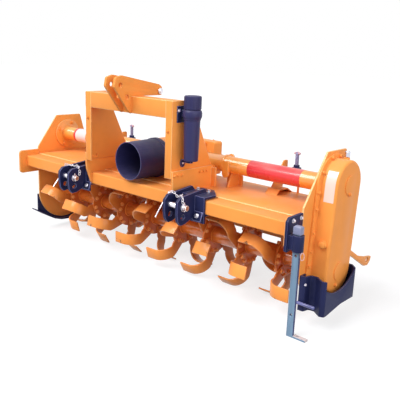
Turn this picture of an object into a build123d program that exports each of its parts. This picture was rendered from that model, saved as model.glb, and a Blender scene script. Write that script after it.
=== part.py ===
from build123d import *
import os
from math import acos, asin, atan2, cos, degrees, radians, sin, sqrt

# Rotary tiller for a category 2 three-point hitch, millimetres.
# Working frame: X from the left side plate to the gear case, Y rearwards from the front face of the
# beam, Z up from the floor, X = 0 at the hitch centre. The last lines move everything so that the
# origin is on the floor under the middle of the outer size.

# ---- driving dimensions -------------------------------------------------------------------------
BEAM_LEFT, BEAM_RIGHT = -1035.0, 1020.0     # ends of the front beam
BEAM_DEPTH, BEAM_HEIGHT, BEAM_WALL = 120.0, 70.0, 8.0
BEAM_CORNER = 7.0                           # outer corner radius of the beam's tube
BEAM_TOP = 527.0                            # height of the beam's top above the floor
END_PLATE = 12.0
SIDE_PLATE = 10.0
DECK_THICK = 6.0
DECK_FRONT, DECK_REAR = 100.0, 500.0
SIDE_FRONT, SIDE_REAR = 100.0, 516.0        # front and rear edges of both side plates

ROTOR_R = 251.0                             # radius that the leading corners of the blades sweep
HELIX_STEP = 15.0                           # degrees from each flange's blades to the next flange's
# the lowest corners stand on the floor half a step before and behind the rotor's lowest point
ROTOR_Y, ROTOR_Z = 305.0, ROTOR_R * cos(radians(HELIX_STEP / 2))
ROTOR_TUBE_R = 44.5
FLANGE_R, FLANGE_THICK = 108.0, 10.0
FLANGE_PITCH, FLANGE_COUNT = 238.3, 8
FIRST_FLANGE = 845.0                        # centre of the rotor flange nearest the gear case
BLADE_WIDTH, BLADE_THICK = 66.0, 8.0
BLADE_REACH = 146.0                         # flange centre to the end of a paddle, along X
BLADE_BEND_R = 80.0                         # outer radius of the bend from shank to paddle
BLADE_RELIEF = 30.0                         # degrees that a paddle's trailing edge is turned inwards
BLADES_EACH_HAND = 3                        # per flange

DRIVE_Y, DRIVE_Z = 335.0, 652.0             # axis of the two transverse tubes
DRIVE_TUBE_R, DRIVE_TUBE_WALL = 44.5, 6.0

CASE_DEPTH = 93.0
CASE_TOP_R, CASE_LOW_R = 117.0, 115.0

HITCH_HALF = 435.0                          # hitch centre to each lower clevis
CLEVIS_GAP, EAR_THICK = 70.0, 15.0
LOWER_PIN_R = 14.0
FREE_Z = BEAM_TOP - 78.0                    # height of the free lower hole
MAST_HEIGHT = 610.0                         # free lower hole to upper top-link hole
TOP_GAP, TOP_EAR = 54.0, 15.0
TOP_PIN_R = 12.7

MAST_HALF = 343.0                           # hitch centre to the outside of each mast upright
TOP_HOLE_RISE = 59.0                        # upper top-link hole above the mast's top
MAST_TOP = FREE_Z + MAST_HEIGHT - TOP_HOLE_RISE
MAST_FRONT, MAST_FOOT = -43.0, 607.0
MAST_PLATE, MAST_FLANGE = 10.0, 46.0
CROSSBAR_HEIGHT, CROSSBAR_DEPTH = 88.0, 90.0

PTO_Z = 647.0                               # input shaft height
PTO_R = 17.45                               # 1 3/8 inch shaft
GUARD_FRONT, GUARD_REAR = -26.0, 195.0
GUARD_FRONT_R, GUARD_REAR_R, GUARD_WALL = 104.0, 108.0, 4.0

LEG_WIDE, LEG_DEEP, LEG_TOP = 33.0, 14.0, 524.0
SOCKET_R = 26.0

RUN = 0.06                                  # radial clearance of a shaft that turns in a hole
SLIP = 0.5                                  # clearance round the stand leg in its socket
PIN_FIT = 0.3                               # radial clearance of a loose pin in its hole
SOFT = 0.3                                  # air between curved faces that nearly touch

parts = {}


# ---- shapes -------------------------------------------------------------------------------------
def block(x, y, z):
    """Box between two corners, each axis as a (low, high) pair."""
    box = Box(x[1] - x[0], y[1] - y[0], z[1] - z[0])
    return Pos((x[0] + x[1]) / 2, (y[0] + y[1]) / 2, (z[0] + z[1]) / 2) * box


def outline(points, radius=0.0, corners=None):
    """Flat face from a closed line of points, with its corners rounded."""
    face = make_face(Polyline(*points, close=True))
    if radius:
        chosen = face.vertices()
        if corners is not None:
            wanted = [points[i] for i in corners]
            chosen = [v for v in chosen if min(abs(v.X - p[0]) + abs(v.Y - p[1]) for p in wanted) < 0.01]
        face = fillet(chosen, radius)
    return face


def plate_x(points, x, radius=0.0, corners=None):
    """Plate that lies across X: points are (y, z), x is the (low, high) pair of its faces."""
    return extrude(Plane.YZ.offset(x[0]) * outline(points, radius, corners), x[1] - x[0])


def rod_x(y, z, r, x):
    """Round bar along X."""
    return Pos(x[0], y, z) * Rot(0, 90, 0) * Cylinder(r, x[1] - x[0], align=(Align.CENTER, Align.CENTER, Align.MIN))


def rod_y(x, z, r, y):
    """Round bar along Y."""
    return Pos(x, y[0], z) * Rot(-90, 0, 0) * Cylinder(r, y[1] - y[0], align=(Align.CENTER, Align.CENTER, Align.MIN))


def rod_z(x, y, r, z):
    """Round bar along Z."""
    return Pos(x, y, z[0]) * Cylinder(r, z[1] - z[0], align=(Align.CENTER, Align.CENTER, Align.MIN))


def belt(low, low_r, high, high_r):
    """Outline of two circles and the straight belt round them, in (y, z)."""
    dy, dz = high[0] - low[0], high[1] - low[1]
    run = sqrt(dy * dy + dz * dz)
    along = atan2(dz, dy)
    spread = acos((low_r - high_r) / run)
    touch = []
    for centre, r, turn in ((low, low_r, spread), (high, high_r, spread), (high, high_r, -spread), (low, low_r, -spread)):
        touch.append((centre[0] + r * cos(along + turn), centre[1] + r * sin(along + turn)))
    web = make_face(Polyline(*touch, close=True))
    return web + Pos(*low) * Circle(low_r) + Pos(*high) * Circle(high_r)


def group(pieces):
    """Several separate solids of one kind, kept together under one name."""
    return Compound(children=list(pieces))


# ---- beam, deck and side plates -----------------------------------------------------------------
BEAM_FLOOR = BEAM_TOP - BEAM_HEIGHT
beam_x = (BEAM_LEFT, BEAM_RIGHT)
beam = block(beam_x, (0, BEAM_DEPTH), (BEAM_FLOOR, BEAM_TOP))
beam = fillet(beam.edges().filter_by(Axis.X), BEAM_CORNER)
parts["front_beam"] = beam - block(
    beam_x, (BEAM_WALL, BEAM_DEPTH - BEAM_WALL), (BEAM_FLOOR + BEAM_WALL, BEAM_TOP - BEAM_WALL))

LEFT_IN = BEAM_LEFT - END_PLATE             # inner face of the left side plate
RIGHT_IN = BEAM_RIGHT + END_PLATE           # inner face of the right side plate
DECK_TOP = BEAM_TOP + DECK_THICK
end_reach = DECK_FRONT - 2
left_end = [(-50, BEAM_FLOOR - 45), (end_reach, BEAM_FLOOR - 45), (end_reach, BEAM_TOP + 35), (-50, BEAM_TOP + 35)]
parts["left_end_plate"] = plate_x(left_end, (LEFT_IN, BEAM_LEFT), 22, (0, 3))
right_end = [(-18, BEAM_FLOOR - 45), (end_reach, BEAM_FLOOR - 45), (end_reach, BEAM_TOP + 20), (-18, BEAM_TOP + 20)]
parts["right_end_plate"] = plate_x(right_end, (BEAM_RIGHT, RIGHT_IN), 14, (0, 3))

deck = block((LEFT_IN, RIGHT_IN), (DECK_FRONT, DECK_REAR), (BEAM_TOP, DECK_TOP))
deck += block((LEFT_IN, RIGHT_IN), (DECK_REAR - DECK_THICK, DECK_REAR), (BEAM_TOP - 24, BEAM_TOP))
parts["deck"] = deck

LEFT_TOP, RIGHT_TOP = 779.0, 815.0
SIDE_LOW_R = {"left": 196.0, "right": 156.0}
arc_mid = (SIDE_FRONT + SIDE_REAR) / 2


def side_plate(top, front_top, rear_top, low_r, x):
    """Side plate: a trapezoid above the deck and a half-round lower edge about the rotor."""
    half = (SIDE_REAR - SIDE_FRONT) / 2
    body = outline([(SIDE_FRONT, ROTOR_Z), (SIDE_REAR, ROTOR_Z), (SIDE_REAR, DECK_TOP + 30),
                    (rear_top, top), (front_top, top), (SIDE_FRONT, DECK_TOP + 42)], 12, (2, 3, 4, 5))
    foot = make_face([
        Line((SIDE_FRONT, ROTOR_Z), (SIDE_REAR, ROTOR_Z)),
        ThreePointArc((SIDE_REAR, ROTOR_Z), (arc_mid, ROTOR_Z - low_r), (SIDE_FRONT, ROTOR_Z)),
    ])
    return extrude(Plane.YZ.offset(x[0]) * (body + foot), x[1] - x[0])


parts["left_side_plate"] = side_plate(LEFT_TOP, 252, 450, SIDE_LOW_R["left"], (LEFT_IN - SIDE_PLATE, LEFT_IN))
RIGHT_OUT = RIGHT_IN + SIDE_PLATE
parts["right_side_plate"] = side_plate(RIGHT_TOP, 275, 452, SIDE_LOW_R["right"], (RIGHT_IN, RIGHT_OUT))

# ---- gear case on the right side plate ----------------------------------------------------------
CASE_RIM, CASE_RIM_THICK = 36.0, 10.0
case_low, case_high = (ROTOR_Y, ROTOR_Z), (DRIVE_Y, DRIVE_Z + 12)   # the case's upper round is centred just above the tube
RIM_TOP_R, rim_high = CASE_TOP_R + 30, (DRIVE_Y, DRIVE_Z + 3)
CASE_OUT = RIGHT_OUT + CASE_DEPTH
rim = belt(case_low, CASE_LOW_R + CASE_RIM, rim_high, RIM_TOP_R)
case = extrude(Plane.YZ.offset(RIGHT_OUT) * rim, CASE_RIM_THICK)
drum = extrude(Plane.YZ.offset(RIGHT_OUT + CASE_RIM_THICK) * belt(case_low, CASE_LOW_R, case_high, CASE_TOP_R),
               CASE_DEPTH - CASE_RIM_THICK)
drum = fillet(drum.faces().sort_by(Axis.X)[-1].edges(), 14)
case += drum
for centre in (case_low, case_high):
    case += rod_x(centre[0], centre[1], 46, (CASE_OUT, CASE_OUT + 5))
CAP_X, CAP_Y = RIGHT_OUT + 45, DRIVE_Y + 41
neck_top = case_high[1] + CASE_TOP_R + 3
case += rod_z(CAP_X, CAP_Y, 13, (case_high[1] + 60, neck_top))
parts["gear_case"] = case
parts["filler_cap"] = rod_z(CAP_X, CAP_Y, 11.5, (neck_top, neck_top + 31))

# ---- mast (headstock) ---------------------------------------------------------------------------
LOWER_TOP = 647.0                           # top of the lower mast plates
LOWER_REAR = 270.0
UPRIGHT_REAR_TOP, UPRIGHT_REAR_FOOT = 100.0, 292.0    # rear edge at the mast's top and at its foot
LOWER_PLATE = 12.0
uprights, feet = [], []
for side in (-1, 1):
    outer = MAST_HALF
    span = sorted((side * outer, side * (outer - MAST_PLATE)))
    web = plate_x([(MAST_FRONT, MAST_FOOT), (UPRIGHT_REAR_FOOT, MAST_FOOT), (UPRIGHT_REAR_TOP, MAST_TOP), (MAST_FRONT, MAST_TOP)], span)
    lip = sorted((side * (outer - MAST_PLATE), side * (outer - MAST_FLANGE)))
    web += block(lip, (MAST_FRONT, MAST_FRONT + MAST_PLATE), (MAST_FOOT, MAST_TOP))
    uprights.append(web)
    span = sorted((side * outer, side * (outer + LOWER_PLATE)))
    knee = plate_x([(MAST_FRONT, LOWER_TOP), (MAST_FRONT + 6, BEAM_TOP + 30), (-3, BEAM_FLOOR), (0, BEAM_FLOOR),
                    (0, BEAM_TOP), (DECK_FRONT - 2, BEAM_TOP), (DECK_FRONT - 2, DECK_TOP), (LOWER_REAR, DECK_TOP),
                    (LOWER_REAR, LOWER_TOP)], span)
    rear_lip = sorted((side * (outer + LOWER_PLATE), side * (outer + LOWER_PLATE + 30)))
    knee += block(rear_lip, (LOWER_REAR - LOWER_PLATE, LOWER_REAR), (DECK_TOP, LOWER_TOP - 10))
    feet.append(knee)
parts["mast_uprights"] = group(uprights)
parts["mast_feet"] = group(feet)

bar_in = MAST_HALF - MAST_PLATE
lip_in = MAST_HALF - MAST_FLANGE
bar_z = (MAST_TOP - CROSSBAR_HEIGHT, MAST_TOP)
BAR_BACK = MAST_FRONT + CROSSBAR_DEPTH
bar = block((-bar_in, bar_in), (MAST_FRONT + MAST_PLATE, BAR_BACK), bar_z)
bar += block((-lip_in, lip_in), (MAST_FRONT, MAST_FRONT + MAST_PLATE), bar_z)
bar -= block((-bar_in + 8, bar_in - 8), (MAST_FRONT + MAST_PLATE, BAR_BACK - 8), (bar_z[0] + 8, bar_z[1] - 8))
parts["mast_crossbar"] = bar

TOP_HOLE = (-117.0, MAST_TOP + TOP_HOLE_RISE)     # upper top-link hole, (y, z)
TOP_HOLE_2 = (-72.0, MAST_TOP - 3)
TOP_HOLE_R = TOP_PIN_R + PIN_FIT
brace = (165.0, MAST_TOP + 23)              # pin that closes the rear of the two ears
ear_face = outline([(-160, MAST_TOP + 50), (-150, MAST_TOP + 96), (-108, MAST_TOP + 108),
                    (160, MAST_TOP + 59), (184, MAST_TOP + 42), (178, MAST_TOP),
                    (MAST_FRONT, MAST_TOP), (MAST_FRONT, MAST_TOP - 90), (-62, MAST_TOP - 76)], 14, (0, 1, 2, 3, 4))
for spot in (TOP_HOLE, TOP_HOLE_2):
    ear_face -= Pos(*spot) * Circle(TOP_HOLE_R)
ear_face -= Pos(*brace) * Circle(10 + PIN_FIT)
ears = []
for side in (-1, 1):
    span = sorted((side * TOP_GAP / 2, side * (TOP_GAP / 2 + TOP_EAR)))
    ears.append(extrude(Plane.YZ.offset(span[0]) * ear_face, TOP_EAR))
parts["top_link_ears"] = group(ears)
ear_out = TOP_GAP / 2 + TOP_EAR
brace_pin = rod_x(brace[0], brace[1], 10, (-ear_out - 12, ear_out + 12))
brace_pin += rod_x(brace[0], brace[1], 17, (ear_out + 0.5, ear_out + 9))
brace_pin += rod_x(brace[0], brace[1], 17, (-ear_out - 9, -ear_out - 0.5))
parts["top_link_brace_pin"] = brace_pin

# ---- gearbox, input shaft and guard -------------------------------------------------------------
GEARBOX_LEFT, GEARBOX_RIGHT = -130.0, 130.0
GEARBOX_FRONT, GEARBOX_REAR, GEARBOX_TOP = 215.0, 400.0, 735.0
COVER_RIGHT, COVER_REAR, COVER_TOP = 250.0, 470.0, 744.0
SEAT_DEPTH = 30.0                           # how far the input shaft runs into the gearbox
JOURNAL_R = 22.0                            # the shaft's thicker part in its bearing
gearbox = block((GEARBOX_LEFT, GEARBOX_RIGHT), (GEARBOX_FRONT, GEARBOX_REAR), (DECK_TOP, GEARBOX_TOP))
gearbox = fillet(gearbox.edges().filter_by(Axis.Y).group_by(Axis.Z)[-1], 30)
gearbox += rod_y(0, PTO_Z, 88, (GUARD_REAR, GEARBOX_FRONT))
gearbox -= rod_y(0, PTO_Z, JOURNAL_R + RUN, (GUARD_REAR, GUARD_REAR + SEAT_DEPTH))
cover = block((GEARBOX_LEFT + 20, COVER_RIGHT), (GEARBOX_REAR, COVER_REAR), (DECK_TOP + 20, COVER_TOP))
gearbox += fillet(cover.edges().filter_by(Axis.Y), 14)
parts["gearbox"] = gearbox
SHAFT_TIP = 90.0
SHOULDER = GUARD_REAR - 8                   # where the splined end meets the journal
shaft = rod_y(0, PTO_Z, PTO_R, (SHAFT_TIP, SHOULDER))
parts["pto_shaft"] = shaft + rod_y(0, PTO_Z, JOURNAL_R, (SHOULDER, GUARD_REAR + SEAT_DEPTH - 2))
long = GUARD_REAR - GUARD_FRONT
cone = Cone(GUARD_REAR_R, GUARD_FRONT_R, long) - Cone(GUARD_REAR_R - GUARD_WALL, GUARD_FRONT_R - GUARD_WALL, long)
guard = Pos(0, (GUARD_REAR + GUARD_FRONT) / 2, PTO_Z) * Rot(90, 0, 0) * cone
collar = rod_y(0, PTO_Z, GUARD_REAR_R + 4, (GUARD_REAR - 26, GUARD_REAR)) - rod_y(
    0, PTO_Z, GUARD_REAR_R - GUARD_WALL, (GUARD_REAR - 26, GUARD_REAR))
wall = rod_y(0, PTO_Z, GUARD_REAR_R, (GUARD_REAR - 5, GUARD_REAR)) - rod_y(0, PTO_Z, 60, (GUARD_REAR - 5, GUARD_REAR))
parts["pto_guard"] = guard + collar + wall

# ---- transverse tubes ---------------------------------------------------------------------------
COUPLING_X = 401.0
NECK_R = DRIVE_TUBE_R + 1.5


def tube_x(r, wall, x):
    """Hollow tube along X on the drive axis."""
    return rod_x(DRIVE_Y, DRIVE_Z, r, x) - rod_x(DRIVE_Y, DRIVE_Z, r - wall, x)


drive = tube_x(NECK_R, DRIVE_TUBE_WALL, (GEARBOX_RIGHT, COUPLING_X))
COUPLING_R, COUPLING_THICK = DRIVE_TUBE_R + 7.5, 7.0
drive += tube_x(COUPLING_R, COUPLING_R - NECK_R + DRIVE_TUBE_WALL, (COUPLING_X - COUPLING_THICK, COUPLING_X + COUPLING_THICK))
drive += tube_x(DRIVE_TUBE_R, DRIVE_TUBE_WALL, (COUPLING_X + COUPLING_THICK, RIGHT_IN))
# a round-ended lug in front of the tube, just outside the coupling
LUG_HALF, LUG_THICK = 21.0, 12.0
lug_x = COUPLING_X + COUPLING_THICK + LUG_HALF
lug_y = (DRIVE_Y - DRIVE_TUBE_R - 6, DRIVE_Y - DRIVE_TUBE_R - 6 + LUG_THICK)
drive += block((lug_x - LUG_HALF, lug_x + LUG_HALF), lug_y, (DRIVE_Z - 44, DRIVE_Z + 24))
drive += rod_y(lug_x, DRIVE_Z - 44, LUG_HALF, lug_y)
parts["drive_tube"] = drive
WALL_FLANGE_R = 95.0
support = tube_x(DRIVE_TUBE_R, DRIVE_TUBE_WALL, (LEFT_IN, GEARBOX_LEFT))
support += tube_x(WALL_FLANGE_R, WALL_FLANGE_R - DRIVE_TUBE_R + DRIVE_TUBE_WALL, (LEFT_IN, LEFT_IN + 12))
parts["support_tube"] = support
# saddle behind the tube: a plate that stands across Y on the deck, with a web under the tube
SADDLE_LEFT, SADDLE_RIGHT, SADDLE_THICK = COUPLING_X - 36, COUPLING_X + 70, 10.0
SADDLE_TOP, SADDLE_FIN = 699.0, 40.0
saddle_y = DRIVE_Y + COUPLING_R + SOFT
saddle_face = outline([
    (SADDLE_LEFT, DECK_TOP), (SADDLE_RIGHT, DECK_TOP), (SADDLE_RIGHT, DECK_TOP + 52),
    (SADDLE_LEFT + SADDLE_FIN, DECK_TOP + 104), (SADDLE_LEFT + SADDLE_FIN, SADDLE_TOP),
    (SADDLE_LEFT, SADDLE_TOP)], 18, (4, 5))
saddle = extrude(Plane.XZ.offset(-saddle_y - SADDLE_THICK) * saddle_face, SADDLE_THICK)
web_top = DRIVE_Z - DRIVE_TUBE_R - SOFT
saddle += plate_x([(DRIVE_Y - 40, DECK_TOP), (saddle_y, DECK_TOP), (saddle_y, web_top), (DRIVE_Y - 12, web_top)],
                  (COUPLING_X + 36, COUPLING_X + 46))
parts["tube_saddle"] = saddle

# ---- lower hitch brackets -----------------------------------------------------------------------
BRACKET_PLATE = 12.0
PIN_SPOT = (-100.0, 500.0)                  # carries the fitted pin, (y, z)
FREE_SPOT = (-97.0, FREE_Z)
HOLE_R = LOWER_PIN_R + PIN_FIT
JAW_THICK = 10.0
bracket_low = FREE_SPOT[1] - 38
bracket_top = DECK_TOP + BRACKET_PLATE
bracket_rear = BEAM_DEPTH + 32
OVER_CUT = 74.0                             # corner cut off the plate that lies on the beam
nose = PIN_SPOT[0] - 38                     # front edge of a lower hitch ear
ear_face = outline([
    (0, bracket_low + 34), (-80, bracket_low), (-114, bracket_low - 4), (nose + 6, bracket_low + 20),
    (nose, PIN_SPOT[1] - 30), (nose, PIN_SPOT[1] + 28), (nose + 24, bracket_top + 6), (62, bracket_top + 26),
    (84, bracket_top), (0, bracket_top)], 14, (2, 3, 4, 5, 6, 7))
for spot in (PIN_SPOT, FREE_SPOT):
    ear_face -= Pos(*spot) * Circle(HOLE_R)
BRACKETS = (                                # name, hitch centre, plate left and right of it
    ("left", -HITCH_HALF, -50.0, HITCH_HALF - MAST_HALF - LOWER_PLATE),
    ("right", HITCH_HALF, -50.0, 111.0),
)
pins = []
for name, mid, to_left, to_right in BRACKETS:
    jaw = (mid + to_left, mid + to_right)
    bracket = block(jaw, (-BRACKET_PLATE, 0), (bracket_low, bracket_top))
    over = outline([(jaw[0], 0), (jaw[1], 0), (jaw[1], bracket_rear - OVER_CUT), (jaw[1] - OVER_CUT, bracket_rear),
                    (jaw[0], bracket_rear)], 12, (2, 3, 4))
    bracket += extrude(Plane.XY.offset(DECK_TOP) * over, BRACKET_PLATE)
    bracket += block(jaw, (0, BEAM_DEPTH - 5), (BEAM_FLOOR - JAW_THICK, BEAM_FLOOR))
    for lug in (-1, 1):
        near = mid + lug * CLEVIS_GAP / 2
        span = sorted((near, near + lug * EAR_THICK))
        bracket += extrude(Plane.YZ.offset(span[0]) * ear_face, EAR_THICK)
    parts["hitch_bracket_" + name] = bracket
    half = CLEVIS_GAP / 2 + EAR_THICK
    pin = rod_x(PIN_SPOT[0], PIN_SPOT[1], LOWER_PIN_R, (mid - half - 8, mid + half + 30))
    pin += rod_x(PIN_SPOT[0], PIN_SPOT[1], 20, (mid - half - 8, mid - half - SOFT))
    pins.append(pin)
parts["hitch_pins"] = group(pins)

# ---- parking stand ------------------------------------------------------------------------------
STAND_Y = -2.0
LEG_X = RIGHT_IN + 51                       # the leg's middle
SOCKET_LOW, SOCKET_HIGH = BEAM_TOP - 121, BEAM_TOP - 46
STAND_PLATE = 12.0
stand_plate = plate_x([(-30, BEAM_FLOOR - 62), (SIDE_FRONT - 5, BEAM_FLOOR - 52), (SIDE_FRONT - 5, BEAM_TOP + 31),
                       (-14, BEAM_TOP + 27), (-30, BEAM_TOP + 10)], (RIGHT_IN, RIGHT_IN + STAND_PLATE), 10)
socket_x, socket_y = LEG_X + 2, STAND_Y + 3
stand_plate += rod_z(socket_x, socket_y, SOCKET_R, (SOCKET_LOW, SOCKET_HIGH))
stand_plate += block((RIGHT_IN + STAND_PLATE, socket_x - SOCKET_R + 8), (socket_y - 17, socket_y + 17),
                     (SOCKET_LOW + 6, SOCKET_HIGH - 6))
wide, deep = LEG_WIDE / 2, LEG_DEEP / 2
stand_plate -= block((LEG_X - wide - SLIP, LEG_X + wide + SLIP), (STAND_Y - deep - SLIP, STAND_Y + deep + SLIP),
                     (SOCKET_LOW, SOCKET_HIGH))
parts["stand_bracket"] = stand_plate
HEAD_HALF, HEAD_LOW = 19.0, SOCKET_HIGH + 5
FOOT_REACH, FOOT_THICK = 66.0, 9.0
leg = block((LEG_X - wide, LEG_X + wide), (STAND_Y - deep, STAND_Y + deep), (0, LEG_TOP - 6))
head = block((LEG_X - HEAD_HALF, LEG_X + HEAD_HALF), (STAND_Y - 12, STAND_Y + 16), (HEAD_LOW, LEG_TOP))
leg += chamfer(head.edges().group_by(Axis.Z)[-1], 6)
for z in (107, 387):
    leg -= rod_y(LEG_X, z, 6.5, (STAND_Y - deep, STAND_Y + deep))
leg += block((LEG_X + wide, LEG_X + wide + FOOT_REACH), (STAND_Y - deep, STAND_Y + 18), (0, FOOT_THICK))
parts["stand_leg"] = leg

# ---- skids --------------------------------------------------------------------------------------
SKID_PLATE = 8.0
SKID_OUT = CASE_OUT + 40.0
SKID_FRONT, SKID_REAR, SKID_HEIGHT = 112.0, 438.0, 171.0
SKID_LOW = ROTOR_Z - CASE_LOW_R - 54        # the case's lower end stays well above the sole
SKID_HIGH = SKID_LOW + SKID_HEIGHT
SKID_TURN = 33.0                            # corner cut off the shoe behind the gear case
SOLE_RISE = 21.0                            # the sole's rear part stands this much higher than its front
plan = outline([
    (RIGHT_OUT, SKID_FRONT), (RIGHT_OUT + 30, SKID_FRONT), (RIGHT_OUT + 38, SKID_FRONT + 36),
    (RIGHT_OUT + 66, SKID_FRONT + 40), (SKID_OUT - 22, SKID_FRONT + 6), (SKID_OUT, SKID_FRONT + 14),
    (SKID_OUT, SKID_REAR - SKID_TURN), (SKID_OUT - SKID_TURN, SKID_REAR), (RIGHT_OUT, SKID_REAR)],
    10, (1, 2, 3, 4, 5, 6, 7))


def skid_side(lift):
    """Side view of the shoe: a sole that rises towards the rear, moved up by lift, and open above it."""
    low = SKID_LOW + lift
    return outline([(SKID_FRONT - 5, low), (SKID_FRONT + 38, low), (SKID_FRONT + 168, low + SOLE_RISE),
                    (SKID_REAR - 17, low + SOLE_RISE), (SKID_REAR - 5, low + SOLE_RISE + 14), (SKID_REAR + 1, SKID_HIGH + 1),
                    (SKID_FRONT - 5, SKID_HIGH + 1)])


SKID_TALL = SKID_HIGH - SKID_LOW
across = (RIGHT_OUT - 1, SKID_OUT - RIGHT_OUT + 2)
shoe = extrude(Plane.XY.offset(SKID_LOW) * plan, SKID_TALL)
shoe = shoe & extrude(Plane.YZ.offset(across[0]) * skid_side(0), across[1])
inside = extrude(Plane.XY.offset(SKID_LOW) * offset(plan, -SKID_PLATE), SKID_TALL + 1)
shoe -= inside & extrude(Plane.YZ.offset(across[0]) * skid_side(SKID_PLATE), across[1])
scoop_rear = SKID_REAR - SKID_TURN
scoop = make_face([
    ThreePointArc((SKID_FRONT + 20, SKID_HIGH - 44), (ROTOR_Y - 50, SKID_LOW + 95), (scoop_rear, SKID_HIGH)),
    Polyline((scoop_rear, SKID_HIGH), (scoop_rear, SKID_HIGH + 40), (SKID_FRONT + 20, SKID_HIGH + 40),
             (SKID_FRONT + 20, SKID_HIGH - 44)),
])
shoe -= extrude(Plane.YZ.offset(SKID_OUT - 30) * scoop, 40)
shoe -= rod_x(ROTOR_Y, ROTOR_Z, CASE_LOW_R + CASE_RIM + 3, (RIGHT_OUT, RIGHT_OUT + 30))
parts["right_skid"] = shoe
parts["skid_bar"] = rod_x(SKID_FRONT - 8 - SOFT, SKID_LOW + 40, 8, (RIGHT_OUT, SKID_OUT - 40))
left_out = LEFT_IN - SIDE_PLATE
left_low = ROTOR_Z - SIDE_LOW_R["left"]     # lowest edge of the left side plate
# sole: its underside from the turned-up nose to the heel, (y, height above the lowest point)
SOLE_THICK, SOLE_GAP, SOLE_INNER = 8.0, 5.0, 52.0
under = [(50, 103), (120, 60), (192, 20), (250, 3), (arc_mid, 0), (380, 8), (420, 20)]
sole_low = left_low - SOLE_GAP - SOLE_THICK
sole = [(y, sole_low + h) for y, h in under]
sole += [(y, sole_low + h + SOLE_THICK) for y, h in reversed(under)]
left_shoe = plate_x(sole, (left_out - SKID_PLATE, left_out + SOLE_INNER))
web = [(93, sole_low + 85), (93, ROTOR_Z - 4), (200, ROTOR_Z - 24), (440, ROTOR_Z - 98), (466, sole_low + 50), (420, sole_low + 26),
       (380, sole_low + 14), (arc_mid, sole_low + 6), (250, sole_low + 9), (192, sole_low + 26), (120, sole_low + 66)]
left_shoe += plate_x(web, (left_out - SKID_PLATE, left_out))
parts["left_skid"] = left_shoe

# ---- tool tube on the right upright -------------------------------------------------------------
TUBE_X, TUBE_Y = MAST_HALF + 62.0, 36.0
body_z = (MAST_TOP - 297, MAST_TOP - 83)
body = Pos(TUBE_X, TUBE_Y, (body_z[0] + body_z[1]) / 2) * Cone(36.5, 41.5, body_z[1] - body_z[0])
body += rod_z(TUBE_X, TUBE_Y, 49, (body_z[1], body_z[1] + 42))
body = fillet(body.edges().group_by(Axis.Z)[-1], 6)
parts["tool_tube"] = body
parts["tool_tube_cap"] = rod_z(TUBE_X, TUBE_Y, 43, (body_z[1] + 42, body_z[1] + 112))
strap = block((MAST_HALF, MAST_HALF + 6), (-12, 44), (MAST_TOP - 108, MAST_TOP - 25))
strap += block((MAST_HALF + 6, TUBE_X - 43 - SOFT), (20, 44), (MAST_TOP - 78, MAST_TOP - 45))
strap = strap - rod_z(TUBE_X, TUBE_Y, 49 + SOFT, (body_z[0], body_z[1] + 112))
clip = block((MAST_HALF, TUBE_X + 6), (26, 46), (body_z[0] - 13, body_z[0]))
parts["tool_tube_holders"] = group((strap, clip))

# ---- rear board and its adjusters ---------------------------------------------------------------
BOARD_PIVOT = (DECK_REAR + 14, BEAM_TOP - 10)
BOARD_FOOT = (632.0, 209.0)
BOARD_THICK = 5.0
run_y, run_z = BOARD_FOOT[0] - BOARD_PIVOT[0], BOARD_FOOT[1] - BOARD_PIVOT[1]
board_long = sqrt(run_y * run_y + run_z * run_z)
uy, uz = run_y / board_long, run_z / board_long
ny, nz = -uz, uy                            # square to the board, rearwards and up
START = 9.0
edge = [(BOARD_PIVOT[0] + uy * START, BOARD_PIVOT[1] + uz * START), BOARD_FOOT]
back = [(p[0] + ny * BOARD_THICK, p[1] + nz * BOARD_THICK) for p in edge]
board_x = (LEFT_IN + 6, RIGHT_IN - 6)
board = plate_x([edge[0], edge[1], back[1], back[0]], board_x)
KNUCKLE_R = 12.0
knuckle = rod_x(BOARD_PIVOT[0], BOARD_PIVOT[1], KNUCKLE_R, board_x)
board += knuckle
pin_r = 6.0
board -= rod_x(BOARD_PIVOT[0], BOARD_PIVOT[1], pin_r + RUN, board_x)
for x in (-680, 0, 680):
    board -= block((x - 32, x + 32), (BOARD_PIVOT[0] - 30, BOARD_PIVOT[0] + 16), (BOARD_PIVOT[1] - 14.5, BOARD_PIVOT[1] + 30))
parts["rear_board"] = board
parts["rear_board_hinge_pin"] = rod_x(BOARD_PIVOT[0], BOARD_PIVOT[1], pin_r, (LEFT_IN, RIGHT_IN))
lugs = []
for x in (-680, 0, 680):
    lug = rod_x(BOARD_PIVOT[0], BOARD_PIVOT[1], KNUCKLE_R, (x - 24, x + 24)) + block(
        (x - 24, x + 24), (DECK_REAR, BOARD_PIVOT[0]), (BOARD_PIVOT[1] - 8, BOARD_PIVOT[1] + KNUCKLE_R))
    lugs.append(lug - rod_x(BOARD_PIVOT[0], BOARD_PIVOT[1], pin_r, (x - 24, x + 24)))
parts["rear_board_lugs"] = group(lugs)

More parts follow.
